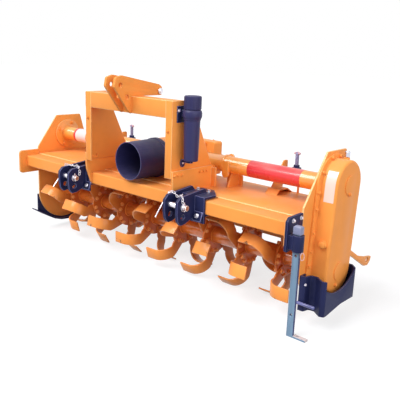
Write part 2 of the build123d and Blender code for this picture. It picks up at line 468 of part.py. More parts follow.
ADJUST_Y, ADJUST_TOP = DECK_REAR + 24, 745.0
SCREW_R, SHELF_Z = 9.0, 648.0
GUSSET_X, GUSSET_TOP = 72.0, 692.0          # gusset's outer face left of the screw, and its top
PLATE = 6.0                                 # thickness of a bracket's plates
BRIDGE_FRONT, BRIDGE_REAR, BRIDGE_TOP = 350.0, 499.0, 560.0    # arched foot that carries a bracket on the deck
ADJUST_X = (-580.0, 724.0)
brackets, screws = [], []
for x in ADJUST_X:
    gusset = outline([(400, BRIDGE_TOP - 3), (DECK_REAR - 2, DECK_TOP), (ADJUST_Y + 16, SHELF_Z - PLATE), (ADJUST_Y + 16, GUSSET_TOP),
                      (ADJUST_Y - 20, GUSSET_TOP), (440, DECK_TOP + 76)], 12, (3, 4, 5))
    bracket = extrude(Plane.YZ.offset(x - GUSSET_X) * gusset, PLATE)
    shelf_x = (x - GUSSET_X + PLATE, x + 46)
    bracket += block(shelf_x, (ADJUST_Y - 20, ADJUST_Y + 16), (SHELF_Z - PLATE, SHELF_Z))
    bracket += block((x + 36, x + 42), (DECK_REAR - 14, DECK_REAR), (DECK_TOP, SHELF_Z - PLATE))
    bracket += block((x + 36, x + 42), (DECK_REAR - 14, ADJUST_Y + 16), (SHELF_Z - PLATE - 16, SHELF_Z - PLATE))
    bridge = [(BRIDGE_FRONT, DECK_TOP), (BRIDGE_FRONT + 8, DECK_TOP), (BRIDGE_FRONT + 30, BRIDGE_TOP - PLATE),
              (BRIDGE_REAR - 50, BRIDGE_TOP - PLATE), (BRIDGE_REAR - 10, DECK_TOP), (BRIDGE_REAR, DECK_TOP),
              (BRIDGE_REAR - 46, BRIDGE_TOP), (BRIDGE_FRONT + 28, BRIDGE_TOP)]
    bracket += plate_x(bridge, (x - GUSSET_X, x))
    brackets.append(bracket)
    screw = rod_z(x, ADJUST_Y, SCREW_R, (SHELF_Z, ADJUST_TOP))
    screw += rod_z(x, ADJUST_Y, 26, (SHELF_Z, SHELF_Z + 12)) + rod_z(x, ADJUST_Y, 16, (SHELF_Z + 12, SHELF_Z + 26))
    screws.append(screw + rod_x(ADJUST_Y, ADJUST_TOP - 8, 6, (x - 17, x + 17)))
parts["adjuster_brackets"] = group(brackets)
parts["adjuster_screws"] = group(screws)

# ---- rear arms ----------------------------------------------------------------------------------
ARM_HOLE, ARM_HOLE_R, ARM_THICK = (793.0, 161.0), 15.0, 12.0
ARM_FRONT = ROTOR_Y + CASE_LOW_R + CASE_RIM + 6
arms = []
for side in (-1, 1):
    outer = RIGHT_OUT if side > 0 else -(LEFT_IN - SIDE_PLATE)
    span = sorted((side * outer, side * (outer + ARM_THICK)))
    arm = plate_x([(ARM_FRONT, 330), (ARM_FRONT, 268), (589, 235), (760, 135), (802, 128), (832, 150), (838, 175), (761, 189),
                   (678, 213), (582, 269), (530, 330)], span, 8)
    arms.append(arm - rod_x(ARM_HOLE[0], ARM_HOLE[1], ARM_HOLE_R, span))
parts["rear_arms"] = group(arms)

# ---- rotor --------------------------------------------------------------------------------------
rotor_x = (LEFT_IN + 6, RIGHT_IN - 6)
STUB_R = 30.0
rotor = rod_x(ROTOR_Y, ROTOR_Z, ROTOR_TUBE_R, rotor_x) - rod_x(ROTOR_Y, ROTOR_Z, ROTOR_TUBE_R - 10, rotor_x)
PLUG = 60.0                                 # how far each stub shaft's plug runs into the rotor tube
for tip, face, plug in ((LEFT_IN - SIDE_PLATE, rotor_x[0], rotor_x[0] + PLUG), (RIGHT_OUT, rotor_x[1], rotor_x[1] - PLUG)):
    rotor += rod_x(ROTOR_Y, ROTOR_Z, STUB_R, sorted((tip, face)))
    rotor += rod_x(ROTOR_Y, ROTOR_Z, ROTOR_TUBE_R - 10, sorted((face, plug)))
parts["rotor_tube"] = rotor
for key in ("left_side_plate", "right_side_plate"):
    parts[key] = parts[key] - rod_x(ROTOR_Y, ROTOR_Z, STUB_R + RUN, (LEFT_IN - SIDE_PLATE - 1, RIGHT_OUT))

lap = FLANGE_THICK / 2
lean = radians(BLADE_RELIEF)
half_wide = BLADE_WIDTH / 2
# the leading corner of a paddle is on the tip circle, and its middle on the blade's own radial line
paddle_r = sqrt(ROTOR_R ** 2 - (half_wide * cos(lean)) ** 2) - half_wide * sin(lean)
SHANK_FRONT, SHANK_REAR, SHANK_LOW = -72.0, -4.0, 60.0


def blade(hand):
    """C-shaped blade on a flange face: hand 1 bends to +X, -1 to -X; it points up and cuts towards -Y."""
    bent = outline([
        (hand * lap, 0), (hand * BLADE_REACH, 0), (hand * BLADE_REACH, -BLADE_THICK),
        (hand * (lap + BLADE_THICK), -BLADE_THICK), (hand * (lap + BLADE_THICK), -BLADE_BEND_R - 1),
        (hand * lap, -BLADE_BEND_R - 1)])
    far = [v for v in bent.vertices() if abs(v.X - hand * lap) + abs(v.Y) < 0.01]
    bent = fillet(far, BLADE_BEND_R)
    near = [v for v in bent.vertices() if abs(v.X - hand * (lap + BLADE_THICK)) + abs(v.Y + BLADE_THICK) < 0.01]
    bent = fillet(near, BLADE_BEND_R - BLADE_THICK)
    strap = Pos(0, 0, paddle_r) * Rot(-BLADE_RELIEF, 0, 0) * extrude(Plane.XZ * bent, half_wide, both=True)
    drop = BLADE_BEND_R + 1
    seam = [(y * cos(lean) - drop * sin(lean), paddle_r - y * sin(lean) - drop * cos(lean)) for y in (-half_wide, half_wide)]
    faces = sorted((hand * lap, hand * (lap + BLADE_THICK)))
    shank = plate_x([seam[0], seam[1], (SHANK_REAR, seam[1][1] - 20), (SHANK_REAR, SHANK_LOW), (SHANK_FRONT, SHANK_LOW),
                     (SHANK_FRONT, seam[0][1] - 30)], faces)
    return strap + shank


flanges = []
lead = degrees(asin(half_wide * cos(lean) / ROTOR_R))
first_turn = 180 + HELIX_STEP / 2 - lead    # puts the first leading corner half a step behind the lowest point
hands = ((-1, first_turn), (1, first_turn - 180 / BLADES_EACH_HAND))
patterns = [(blade(hand), angle) for hand, angle in hands]
for i in range(FLANGE_COUNT):
    x = FIRST_FLANGE - FLANGE_PITCH * i
    ring = (x - lap, x + lap)
    flange = rod_x(ROTOR_Y, ROTOR_Z, FLANGE_R, ring) - rod_x(ROTOR_Y, ROTOR_Z, ROTOR_TUBE_R, ring)
    flanges.append(flange)
    fan = []
    for pattern, angle in patterns:
        for j in range(BLADES_EACH_HAND):
            turn = angle - HELIX_STEP * i + j * 360 / BLADES_EACH_HAND
            fan.append(Pos(x, ROTOR_Y, ROTOR_Z) * Rot(turn, 0, 0) * pattern)
    parts[f"rotor_blades_{i + 1}"] = group(fan)
parts["rotor_flanges"] = group(flanges)

# ---- move to the floor under the middle, and write ----------------------------------------------
corners = [shape.bounding_box() for shape in parts.values()]
low = [min(getattr(c.min, axis) for c in corners) for axis in "XYZ"]
high = [max(getattr(c.max, axis) for c in corners) for axis in "XYZ"]
SHIFT = Pos(-(low[0] + high[0]) / 2, -(low[1] + high[1]) / 2, -low[2])
os.makedirs("parts", exist_ok=True)
for name, shape in parts.items():
    export_step(SHIFT * shape, f"parts/{name}.step")
print("size", [round(h - l, 1) for l, h in zip(low, high)], "shift", SHIFT.position)
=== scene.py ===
# Rotary tiller for a tractor's three-point hitch: how it looks, built around its fixed frame.
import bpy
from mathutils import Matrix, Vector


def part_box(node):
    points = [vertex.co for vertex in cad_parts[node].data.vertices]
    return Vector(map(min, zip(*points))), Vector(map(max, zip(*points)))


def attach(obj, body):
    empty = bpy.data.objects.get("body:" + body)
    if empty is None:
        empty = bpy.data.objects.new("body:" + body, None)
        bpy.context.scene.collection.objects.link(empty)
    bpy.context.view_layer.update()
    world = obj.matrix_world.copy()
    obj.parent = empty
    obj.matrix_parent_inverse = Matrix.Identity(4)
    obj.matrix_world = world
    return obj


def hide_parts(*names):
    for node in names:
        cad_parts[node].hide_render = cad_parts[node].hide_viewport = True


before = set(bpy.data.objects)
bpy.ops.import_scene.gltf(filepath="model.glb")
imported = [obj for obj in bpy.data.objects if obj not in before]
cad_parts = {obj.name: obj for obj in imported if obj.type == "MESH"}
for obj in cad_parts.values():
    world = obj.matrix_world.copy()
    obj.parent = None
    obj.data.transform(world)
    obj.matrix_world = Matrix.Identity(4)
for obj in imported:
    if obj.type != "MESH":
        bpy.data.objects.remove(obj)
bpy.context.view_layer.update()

import math
import random

import bpy
from mathutils import Matrix, Vector
from mathutils.bvhtree import BVHTree

# ---- Camera ----
# A person's eye in front of the right end, looking down across the beam. Places on the machine are
# given in millimetres: across from the hitch centre, back from the beam's front, up from the floor.
hitch_centre = (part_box("mast_uprights")[0].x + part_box("mast_uprights")[1].x) / 2
beam_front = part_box("front_beam")[0].y


def at(across, back, up):
    return Vector((hitch_centre + across / 1000, beam_front + back / 1000, up / 1000))


yaw, pitch, roll = (math.radians(angle) for angle in (41.099, 13.801, 2.240))
level_right = Vector((math.cos(yaw), math.sin(yaw), 0))
level_ahead = Vector((-math.sin(yaw), math.cos(yaw), 0))
ahead = level_ahead * math.cos(pitch) - Vector((0, 0, math.sin(pitch)))
above = level_ahead * math.sin(pitch) + Vector((0, 0, math.cos(pitch)))
right = level_right * math.cos(roll) + above * math.sin(roll)
top = above * math.cos(roll) - level_right * math.sin(roll)
camera_data = bpy.data.cameras.new("eye")
camera_data.lens = 52.7
camera_data.sensor_width = 36.0
camera_data.shift_x = 0.001
camera_data.shift_y = -0.0127
camera = bpy.data.objects.new("eye", camera_data)
bpy.context.scene.collection.objects.link(camera)
looking = Matrix((right, top, -ahead)).transposed().to_4x4()
camera.matrix_world = Matrix.Translation(at(2357.39, -2124.66, 1243.28)) @ looking
bpy.context.scene.camera = camera
bpy.context.scene.view_settings.view_transform = "Standard"

# ---- Studio ----
# A white room: a broad key lamp from the front left, a softer one from the right, an even sky, and
# a white floor that keeps the machine's soft shadow.
for lamp_name, strength, spread, towards in (
        ("key_lamp", 3.1, 38, (0.30, 0.80, -0.92)),
        ("fill_lamp", 1.75, 60, (-0.90, 0.25, -0.35))):
    lamp_data = bpy.data.lights.new(lamp_name, "SUN")
    lamp_data.energy = strength
    lamp_data.angle = math.radians(spread)
    lamp = bpy.data.objects.new(lamp_name, lamp_data)
    lamp.rotation_euler = Vector(towards).to_track_quat("-Z", "Y").to_euler()
    bpy.context.scene.collection.objects.link(lamp)


def add_node(tree, kind, settings=None, **inputs):
    """A shader node with its settings, each input given as a value or as a socket to link."""
    node = tree.nodes.new(kind)
    for key, value in (settings or {}).items():
        setattr(node, key, value)
    for key, value in inputs.items():
        socket = node.inputs[int(key[1:])] if key[1:].isdigit() else node.inputs[key.replace("_", " ")]
        if isinstance(value, bpy.types.NodeSocket):
            tree.links.new(value, socket)
        else:
            socket.default_value = value
    return node


def maths(tree, operation, *values):
    """One step of arithmetic on plain values or sockets."""
    inputs = {"_" + str(index): value for index, value in enumerate(values)}
    return add_node(tree, "ShaderNodeMath", {"operation": operation}, **inputs).outputs[0]


def seen_by_eye(tree):
    """1 where the camera, a mirror-like surface or glass sees a surface, 0 where it lights others."""
    rays = add_node(tree, "ShaderNodeLightPath").outputs
    either = maths(tree, "MAXIMUM", rays["Is Camera Ray"], rays["Is Glossy Ray"])
    return maths(tree, "MAXIMUM", either, rays["Is Transmission Ray"])


world = bpy.data.worlds.new("white_room")
bpy.context.scene.world = world
world.use_nodes = True
sky = world.node_tree
sky.nodes.clear()
glow = add_node(sky, "ShaderNodeMapRange", Value=seen_by_eye(sky), To_Min=0.30, To_Max=1.0)
room = add_node(sky, "ShaderNodeBackground", Color=(1.0, 1.0, 1.0, 1.0), Strength=glow.outputs[0])
sky_out = add_node(sky, "ShaderNodeOutputWorld")
sky.links.new(room.outputs[0], sky_out.inputs["Surface"])

bpy.ops.object.select_all(action="DESELECT")
bpy.ops.mesh.primitive_plane_add(size=60, location=(0, 0, -0.0005))
floor = bpy.context.object
floor.name = "studio_floor"
floor_paint = bpy.data.materials.new("white_floor")
floor_paint.use_nodes = True
ground = floor_paint.node_tree
ground.nodes.clear()
matt = add_node(ground, "ShaderNodeBsdfPrincipled", Base_Color=(0.30, 0.30, 0.31, 1.0), Roughness=0.9)
matt.inputs["Specular IOR Level"].default_value = 0.0
lift = maths(ground, "MULTIPLY", seen_by_eye(ground), 0.74)
shine = add_node(ground, "ShaderNodeEmission", Color=(1.0, 1.0, 1.0, 1.0), Strength=lift)
both = add_node(ground, "ShaderNodeAddShader")
ground.links.new(matt.outputs[0], both.inputs[0])
ground.links.new(shine.outputs[0], both.inputs[1])
ground_out = add_node(ground, "ShaderNodeOutputMaterial")
ground.links.new(both.outputs[0], ground_out.inputs["Surface"])
floor.data.materials.append(floor_paint)

# ---- Front beam ----
# A 120 by 70 mm steel tube that everything is bolted or welded to, sprayed in one coat of glossy
# orange. The paint is slightly uneven and holds a little dust on top; its edges are painted lighter,
# a painted highlight along them, with a few chips.


def new_group(name, takes, gives):
    """An empty shader group with its named sockets; returns it with its in and out nodes."""
    group = bpy.data.node_groups.new(name, "ShaderNodeTree")
    for socket, kind, value in takes:
        made = group.interface.new_socket(name=socket, in_out="INPUT", socket_type="NodeSocket" + kind)
        if value is not None:
            made.default_value = value
    for socket, kind in gives:
        group.interface.new_socket(name=socket, in_out="OUTPUT", socket_type="NodeSocket" + kind)
    return group, group.nodes.new("NodeGroupInput").outputs, group.nodes.new("NodeGroupOutput").inputs


def mix_colours(tree, factor, first, second):
    """The second colour over the first, as far as the factor says."""
    blend = add_node(tree, "ShaderNodeMix", {"data_type": "RGBA"}, _0=factor, _6=first, _7=second)
    return blend.outputs[2]


# sprayed film: slow drift of the coat's colour, its roughness and its orange-peel surface
film, takes, gives = new_group(
    "sprayed_film",
    (("Point", "Vector", None), ("Colour", "Color", None), ("Drift", "Float", 0.1),
     ("Roughness", "Float", 0.4), ("Peel Scale", "Float", 180.0)),
    (("Colour", "Color"), ("Roughness", "Float"), ("Height", "Float")))
slow = add_node(film, "ShaderNodeTexNoise", Vector=takes["Point"], Scale=2.6, Detail=3.0)
quick = add_node(film, "ShaderNodeTexNoise", Vector=takes["Point"], Scale=17.0, Detail=4.0)
sway = maths(film, "MULTIPLY_ADD", quick.outputs["Fac"], 0.4, slow.outputs["Fac"])
swing = add_node(film, "ShaderNodeMapRange", Value=sway, From_Min=0.45, From_Max=0.95, To_Min=-0.5,
                 To_Max=0.5)
drifted = maths(film, "MULTIPLY_ADD", swing.outputs[0], takes["Drift"], 1.0)
toned = add_node(film, "ShaderNodeHueSaturation", Hue=0.5, Saturation=1.0, Value=drifted,
                 Color=takes["Colour"])
rough_swing = maths(film, "MULTIPLY_ADD", swing.outputs[0], 0.12, takes["Roughness"])
peel = add_node(film, "ShaderNodeTexNoise", Vector=takes["Point"], Scale=takes["Peel Scale"], Detail=2.0)
film.links.new(toned.outputs[0], gives["Colour"])
film.links.new(rough_swing, gives["Roughness"])
film.links.new(peel.outputs["Fac"], gives["Height"])

# settled dust: a mask for the thin dust that lies on faces that look up
dust, takes, gives = new_group(
    "settled_dust", (("Point", "Vector", None), ("Facing", "Vector", None), ("Amount", "Float", 0.2)),
    (("Mask", "Float"),))
parts_of_normal = add_node(dust, "ShaderNodeSeparateXYZ", Vector=takes["Facing"])
upward = add_node(dust, "ShaderNodeMapRange", Value=parts_of_normal.outputs["Z"], From_Min=0.25,
                  From_Max=1.0)
patchy = add_node(dust, "ShaderNodeTexNoise", Vector=takes["Point"], Scale=9.0, Detail=6.0, Roughness=0.65)
patches = add_node(dust, "ShaderNodeMapRange", Value=patchy.outputs["Fac"], From_Min=0.35, From_Max=0.7)
laid = maths(dust, "MULTIPLY", upward.outputs[0], patches.outputs[0])
dust.links.new(maths(dust, "MULTIPLY", laid, takes["Amount"]), gives["Mask"])

# paint chips: a mask of small bare places with crisp, ragged borders
chips, takes, gives = new_group(
    "paint_chips", (("Point", "Vector", None), ("Size", "Float", 60.0), ("Amount", "Float", 0.3)),
    (("Mask", "Float"),))
ragged = add_node(chips, "ShaderNodeTexNoise", Vector=takes["Point"], Scale=takes["Size"], Detail=5.0,
                  Roughness=0.6)
level = maths(chips, "SUBTRACT", 1.0, takes["Amount"])
crisp = maths(chips, "SUBTRACT", ragged.outputs["Fac"], level)
flakes = add_node(chips, "ShaderNodeMapRange", Value=crisp, From_Min=-0.02, From_Max=0.03)
chips.links.new(flakes.outputs[0], gives["Mask"])


def finish(name, colour, rough, coat=0.0, metal=0.0, drift=0.12, peel=180.0, bump=0.03, dusty=0.15,
           chipped=0.0, under=(0.30, 0.27, 0.26), chip_size=60.0, gloss=0.5):
    """A painted, plated or moulded surface: film, dust and chips over one plain colour."""
    material = bpy.data.materials.new(name)
    material.use_nodes = True
    tree = material.node_tree
    tree.nodes.clear()
    point = add_node(tree, "ShaderNodeTexCoord").outputs["Object"]
    facing = add_node(tree, "ShaderNodeNewGeometry").outputs["Normal"]
    coat_film = add_node(tree, "ShaderNodeGroup", {"node_tree": film}, Point=point, Colour=(*colour, 1.0),
                         Drift=drift, Roughness=rough, Peel_Scale=peel)
    powder = add_node(tree, "ShaderNodeGroup", {"node_tree": dust}, Point=point, Facing=facing, Amount=dusty)
    dust_colour = (0.62, 0.52, 0.44, 1.0)
    shown = mix_colours(tree, powder.outputs["Mask"], coat_film.outputs["Colour"], dust_colour)
    roughness = coat_film.outputs["Roughness"]
    if chipped:
        bare = add_node(tree, "ShaderNodeGroup", {"node_tree": chips}, Point=point, Size=chip_size,
                        Amount=chipped).outputs["Mask"]
        shown = mix_colours(tree, bare, shown, (*under, 1.0))
    dulled = add_node(tree, "ShaderNodeMath", {"operation": "MULTIPLY_ADD", "use_clamp": True},
                      _0=powder.outputs["Mask"], _1=0.5, _2=roughness)
    relief = add_node(tree, "ShaderNodeBump", Strength=bump, Distance=0.002,
                      Height=coat_film.outputs["Height"])
    shader = add_node(tree, "ShaderNodeBsdfPrincipled", Base_Color=shown, Roughness=dulled.outputs[0],
                      Metallic=metal, Normal=relief.outputs[0])
    shader.inputs["Specular IOR Level"].default_value = gloss
    shader.inputs["Coat Weight"].default_value = coat
    shader.inputs["Coat Roughness"].default_value = 0.08
    out = add_node(tree, "ShaderNodeOutputMaterial")
    tree.links.new(shader.outputs[0], out.inputs["Surface"])
    return material


orange_coat = finish("orange_coat", (0.96, 0.350, 0.075), 0.44, coat=0.06, gloss=0.14)
# the edge finish is lighter than the coat: a painted highlight along the edges, with a few real chips
orange_highlight_and_chips = finish("orange_highlight_and_chips", (0.99, 0.55, 0.22), 0.34, coat=0.2, gloss=0.3, chipped=0.16,
                     under=(0.62, 0.22, 0.08))
orange_pair = (orange_coat, orange_highlight_and_chips)


def pick(*pieces):
    """Selects these pieces and nothing else."""
    bpy.ops.object.select_all(action="DESELECT")
    for piece in pieces:
        piece.select_set(True)
    bpy.context.view_layer.objects.active = pieces[0]


def dress(piece, finishes):
    """Gives a piece its finishes in place of those it has."""
    piece.data.materials.clear()
    for coat in finishes:
        piece.data.materials.append(coat)


def belongs(piece, body, slot, *nodes):
    """Says which body a piece moves with and hides the nodes it stands for; slot is not used."""
    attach(piece, body)
    if nodes:
        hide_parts(*nodes)


def round_edges(piece, width, segments):
    """Rounds the sharp edges as grinding and paint leave them, and gives them the lighter edge finish, a
    painted highlight.
    """
    sharp_from = 32
    pick(piece)
    soft = piece.modifiers.new("soft_edges", "BEVEL")
    soft.width = width / 1000
    soft.segments = segments
    soft.limit_method = "ANGLE"
    soft.angle_limit = math.radians(sharp_from)
    # the rounded faces take the second, lighter finish: a painted highlight along each edge
    soft.material = 1
    bpy.ops.object.modifier_apply(modifier=soft.name)
    bpy.ops.object.shade_smooth_by_angle(angle=math.radians(sharp_from + 2))


def softened(node, width, finishes=orange_pair, slot="orange_paint", body="frame", segments=2):
    """The frame's own part with its edges rounded, in place of the sharp one."""
    piece = bpy.data.objects.new("made_" + node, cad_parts[node].data.copy())
    bpy.context.scene.collection.objects.link(piece)
    pick(piece)
    dress(piece, finishes)
    bpy.ops.object.mode_set(mode="EDIT")
    bpy.ops.mesh.select_all(action="SELECT")
    bpy.ops.mesh.remove_doubles(threshold=0.00002)
    bpy.ops.mesh.dissolve_limited(angle_limit=math.radians(0.6))
    bpy.ops.object.mode_set(mode="OBJECT")
    for face in piece.data.polygons:
        face.material_index = 0
    round_edges(piece, width, segments)
    belongs(piece, body, slot, node)
    return piece


softened("front_beam", 1.2)
softened("left_end_plate", 2.0)
softened("right_end_plate", 2.0)

# ---- Deck and side plates ----
# Folded sheet that covers the rotor, welded between two profile-cut side plates, all orange. Each
# weld is a rope of small overlapping beads, laid by hand and painted over.
softened("deck", 1.6)
for node in ("left_side_plate", "right_side_plate"):
    plate = softened(node, 2.0)
    # the faces round each plate's thickness take the lighter edge finish: a painted highlight along the cut
    # edges
    for face in plate.data.polygons:
        if abs(face.normal.x) < 0.5:
            face.material_index = 1
rng = random.Random(11)


def closed_up(piece):
    """Merges the doubles of a closed shape and turns its faces outwards."""
    pick(piece)
    bpy.ops.object.mode_set(mode="EDIT")
    bpy.ops.mesh.select_all(action="SELECT")
    bpy.ops.mesh.remove_doubles(threshold=0.00002)
    bpy.ops.mesh.normals_make_consistent(inside=False)
    bpy.ops.object.mode_set(mode="OBJECT")


def rod(name, points, thick, finishes=orange_pair, slot="orange_paint", body="frame", ripple=0.0,
        loop=False, sides=3):
    """A round rod of the given thickness, or a rippled weld bead, bent through points; thickness in mm."""
    line = bpy.data.curves.new(name, "CURVE")
    line.dimensions = "3D"
    line.bevel_depth = thick / 2000
    line.bevel_resolution = sides
    line.use_fill_caps = not loop
    path = line.splines.new("POLY")
    path.points.add(len(points) - 1)
    for spot, place in zip(path.points, points):
        spot.co = (*place, 1.0)
        spot.radius = 1.0 - ripple * rng.random()
    path.use_cyclic_u = loop
    piece = bpy.data.objects.new(name, line)
    bpy.context.scene.collection.objects.link(piece)
    pick(piece)
    bpy.ops.object.convert(target="MESH")
    piece = bpy.context.object
    dress(piece, finishes)
    closed_up(piece)
    bpy.ops.object.shade_smooth_by_angle(angle=math.radians(50))
    belongs(piece, body, slot)
    return piece


def weld(name, start, end, thick=7.0, finishes=orange_pair):
    """A straight weld bead between two places, with a ripple every 5 mm."""
    count = max(2, int((end - start).length * 1000 / 5))
    places = [start.lerp(end, index / count) for index in range(count + 1)]
    return rod(name, places, thick, finishes, ripple=0.35, sides=2)


def ring_places(middle, first, second, count):
    """Places round a ring, from its middle and its two half-widths, each (across, back, up)."""
    places = []
    for index in range(count):
        turn = 2 * math.pi * index / count
        reach = Vector(first) * math.cos(turn) + Vector(second) * math.sin(turn)
        places.append(at(*(Vector(middle) + reach)))
    return places


def ring_weld(name, across, back, up, radius, body="frame", step=5.0):
    """A weld bead round a tube that lies along the machine."""
    count = int(2 * math.pi * radius / step)
    places = ring_places((across, back, up), (0, radius, 0), (0, 0, radius), count)
    return rod(name, places, 7.0, body=body, ripple=0.35, loop=True, sides=2)


plate_left, plate_right = -1034, 1030
# the bead along the deck's front lip is all in the lighter edge finish: a painted highlight line
weld("weld_deck_to_beam", at(-1030, 101, 529), at(1028, 101, 529), finishes=(orange_highlight_and_chips,))
weld("weld_deck_left", at(plate_left, 110, 536), at(plate_left, 496, 536))
weld("weld_deck_right", at(plate_right, 110, 536), at(plate_right, 496, 536))
weld("weld_left_plate_to_beam", at(plate_left, 2, 529), at(plate_left, 96, 529))

# ---- Gear case ----
# A welded steel case over the side drive, with two pressed bosses and an oil plug beside each. Bolts
# with washers, painted over with the case, hold its rim to the side plate.
softened("gear_case", 2.2, segments=3)


def started(name, primitive, **shape):
    """A new primitive at its size and place, named, with its place in its mesh."""
    bpy.ops.object.select_all(action="DESELECT")
    primitive(**shape)
    piece = bpy.context.object
    piece.name = name
    bpy.ops.object.transform_apply(location=True, rotation=True, scale=True)
    return piece


def edit_faces(piece, wanted=lambda face: True):
    """Goes into edit mode with only the wanted faces selected, or with all of them."""
    bpy.ops.object.mode_set(mode="OBJECT")
    pick(piece)
    bpy.ops.object.mode_set(mode="EDIT")
    bpy.ops.mesh.select_mode(type="FACE")
    bpy.ops.mesh.select_all(action="DESELECT")
    bpy.ops.object.mode_set(mode="OBJECT")
    for face in piece.data.polygons:
        face.select = wanted(face)
    bpy.ops.object.mode_set(mode="EDIT")


def finished(piece, width, finishes=orange_pair, slot="orange_paint", body="frame", segments=2):
    """Dresses a new piece, rounds its edges and says what it belongs to."""
    dress(piece, finishes)
    round_edges(piece, width, segments)
    belongs(piece, body, slot)


def hex_head(name, wide, tall, washer, stud=0.0):
    """A hexagon head or nut with chamfered corners on its washer, axis up, underside at the origin."""
    washer_thick = 0.002
    disc = started("washer", bpy.ops.mesh.primitive_cylinder_add, vertices=20, radius=washer / 2000,
                   depth=washer_thick, location=(0, 0, washer_thick / 2))
    head = started(name, bpy.ops.mesh.primitive_cylinder_add, vertices=6, radius=wide / 1732,
                   depth=tall / 1000, location=(0, 0, washer_thick + tall / 2000))
    edit_faces(head, lambda face: face.normal.z > 0.9)
    bpy.ops.mesh.bevel(offset=tall / 6000, segments=1)
    bpy.ops.mesh.inset(thickness=wide / 9000, depth=-tall / 20000)
    if stud:
        bpy.ops.mesh.inset(thickness=wide / 12000, depth=0.0)
        bpy.ops.mesh.extrude_region_move(TRANSFORM_OT_translate={"value": (0, 0, stud / 1000)})
        bpy.ops.mesh.inset(thickness=wide / 16000, depth=wide / 16000)
    bpy.ops.object.mode_set(mode="OBJECT")
    pick(head, disc)
    bpy.ops.object.join()
    bpy.ops.object.shade_smooth_by_angle(angle=math.radians(20))
    return head


surfaces = []
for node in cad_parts.values():
    corners = [vertex.co for vertex in node.data.vertices]
    surfaces.append(BVHTree.FromPolygons(corners, [face.vertices for face in node.data.polygons]))


def seat(spot, towards):
    """The surface of the frame's own parts nearest under a fastener that looks towards a direction."""
    start_out, search = 0.014, 0.030
    look = Vector(towards).normalized()
    best = None
    for surface in surfaces:
        place = surface.ray_cast(spot + look * start_out, -look, search)[0]
        if place is not None and (best is None or (place - best).dot(look) > 0):
            best = place
    return best if best is not None else spot


def set_copies(pattern, name, places, finishes=orange_pair, slot="orange_paint", body="frame",
               seated=True, spin=0.0):
    """Copies of one pattern at (spot, direction) places, each with its own mesh, then joined."""
    made = []
    for spot, towards in places:
        mesh = pattern.data.copy()
        copy = bpy.data.objects.new(name, mesh)
        bpy.context.scene.collection.objects.link(copy)
        facing = Vector(towards).to_track_quat("Z", "Y").to_matrix().to_4x4()
        loose = rng.uniform(-0.5, 0.5)
        twist = Matrix.Rotation(math.radians(spin) if spin else loose, 4, "Z")
        foot = seat(spot, towards) if seated else spot
        mesh.transform(Matrix.Translation(foot) @ facing @ twist)
        made.append(copy)
    pick(*made)
    if len(made) > 1:
        bpy.ops.object.join()
    piece = bpy.context.object
    piece.name = name
    dress(piece, finishes)
    belongs(piece, body, slot)
    return piece


def round_spot(back, up, radius, degrees):
    """The (back, up) place on a circle seen from the machine's side."""
    turn = math.radians(degrees)
    return back + radius * math.cos(turn), up + radius * math.sin(turn)


to_left, to_right = (-1, 0, 0), (1, 0, 0)
to_front, to_rear, upwards = (0, -1, 0), (0, 1, 0), (0, 0, 1)
small_hex = hex_head("small_hex", 13, 8, 20)
medium_hex = hex_head("medium_hex", 17, 10, 26)
large_hex = hex_head("large_hex", 21, 12, 33)
stud_nut = hex_head("stud_nut", 19, 12, 28, stud=7)
rotor_back, rotor_up = 305.0, 248.85
drive_back = 335
rim_top = (drive_back, 655, 137)
drum_top = (drive_back, 664, 117)
rim_face, case_face = 1052, 1135
rim_places = []
for up in (283, 355, 443, 556, 636):
    rise = (up - rotor_up) / 403
    rim_places.append((161 + 38 * rise, up))
    rim_places.append((449 + 22 * rise, up))
for turn in (147.7, 106.5, 74.3, 33, 0):
    rim_places.append(round_spot(*rim_top, turn))
set_copies(small_hex, "case_rim_bolts", [(at(rim_face, back, up), to_right) for back, up in rim_places])
set_copies(small_hex, "case_face_plugs",
           [(at(case_face, 332, 621), to_right), (at(case_face, 283, 185), to_right)])

# the level plug: a domed plug on a turned boss, welded to the case's front flank
level_boss = started("level_boss", bpy.ops.mesh.primitive_cylinder_add, vertices=32, radius=0.020,
                     depth=0.014, location=(0, 0, 0.006))
edit_faces(level_boss)
bpy.ops.mesh.bevel(offset=0.003, segments=3)
edit_faces(level_boss, lambda face: face.normal.z > 0.99)
bpy.ops.mesh.inset(thickness=0.0015, depth=0.0)
bpy.ops.mesh.extrude_region_move(TRANSFORM_OT_translate={"value": (0, 0, 0.007)})
for narrower, higher in ((0.0015, 0.0015), (0.004, 0.0018), (0.004, 0.0008)):
    bpy.ops.mesh.inset(thickness=narrower, depth=higher)
bpy.ops.object.mode_set(mode="OBJECT")
bpy.ops.object.shade_smooth_by_angle(angle=math.radians(40))
set_copies(level_boss, "case_level_plug", [(at(1100, 204.6, 396), (0, -0.995, 0.0988))], spin=1)
bpy.data.objects.remove(level_boss)

# the rotor's outer bearing on the left side plate: a turned cast housing held by six bolts
plate_outside = -1057
housing = started("left_bearing_housing", bpy.ops.mesh.primitive_cylinder_add, vertices=48, radius=0.072,
                  depth=0.016, location=at(plate_outside - 6, rotor_back, rotor_up),
                  rotation=(0, math.radians(-90), 0))
edit_faces(housing, lambda face: face.normal.x < -0.9)
for narrower, prouder in ((0.026, 0), (0.002, 0.014), (0.010, 0), (0.002, -0.004)):
    bpy.ops.mesh.inset(thickness=narrower, depth=prouder)
bpy.ops.object.mode_set(mode="OBJECT")
finished(housing, 2.0)
housing_bolts = []
for turn in range(30, 390, 60):
    housing_bolts.append((at(plate_outside - 14, *round_spot(rotor_back, rotor_up, 59, turn)), to_left))
set_copies(small_hex, "left_bearing_bolts", housing_bolts, seated=False)

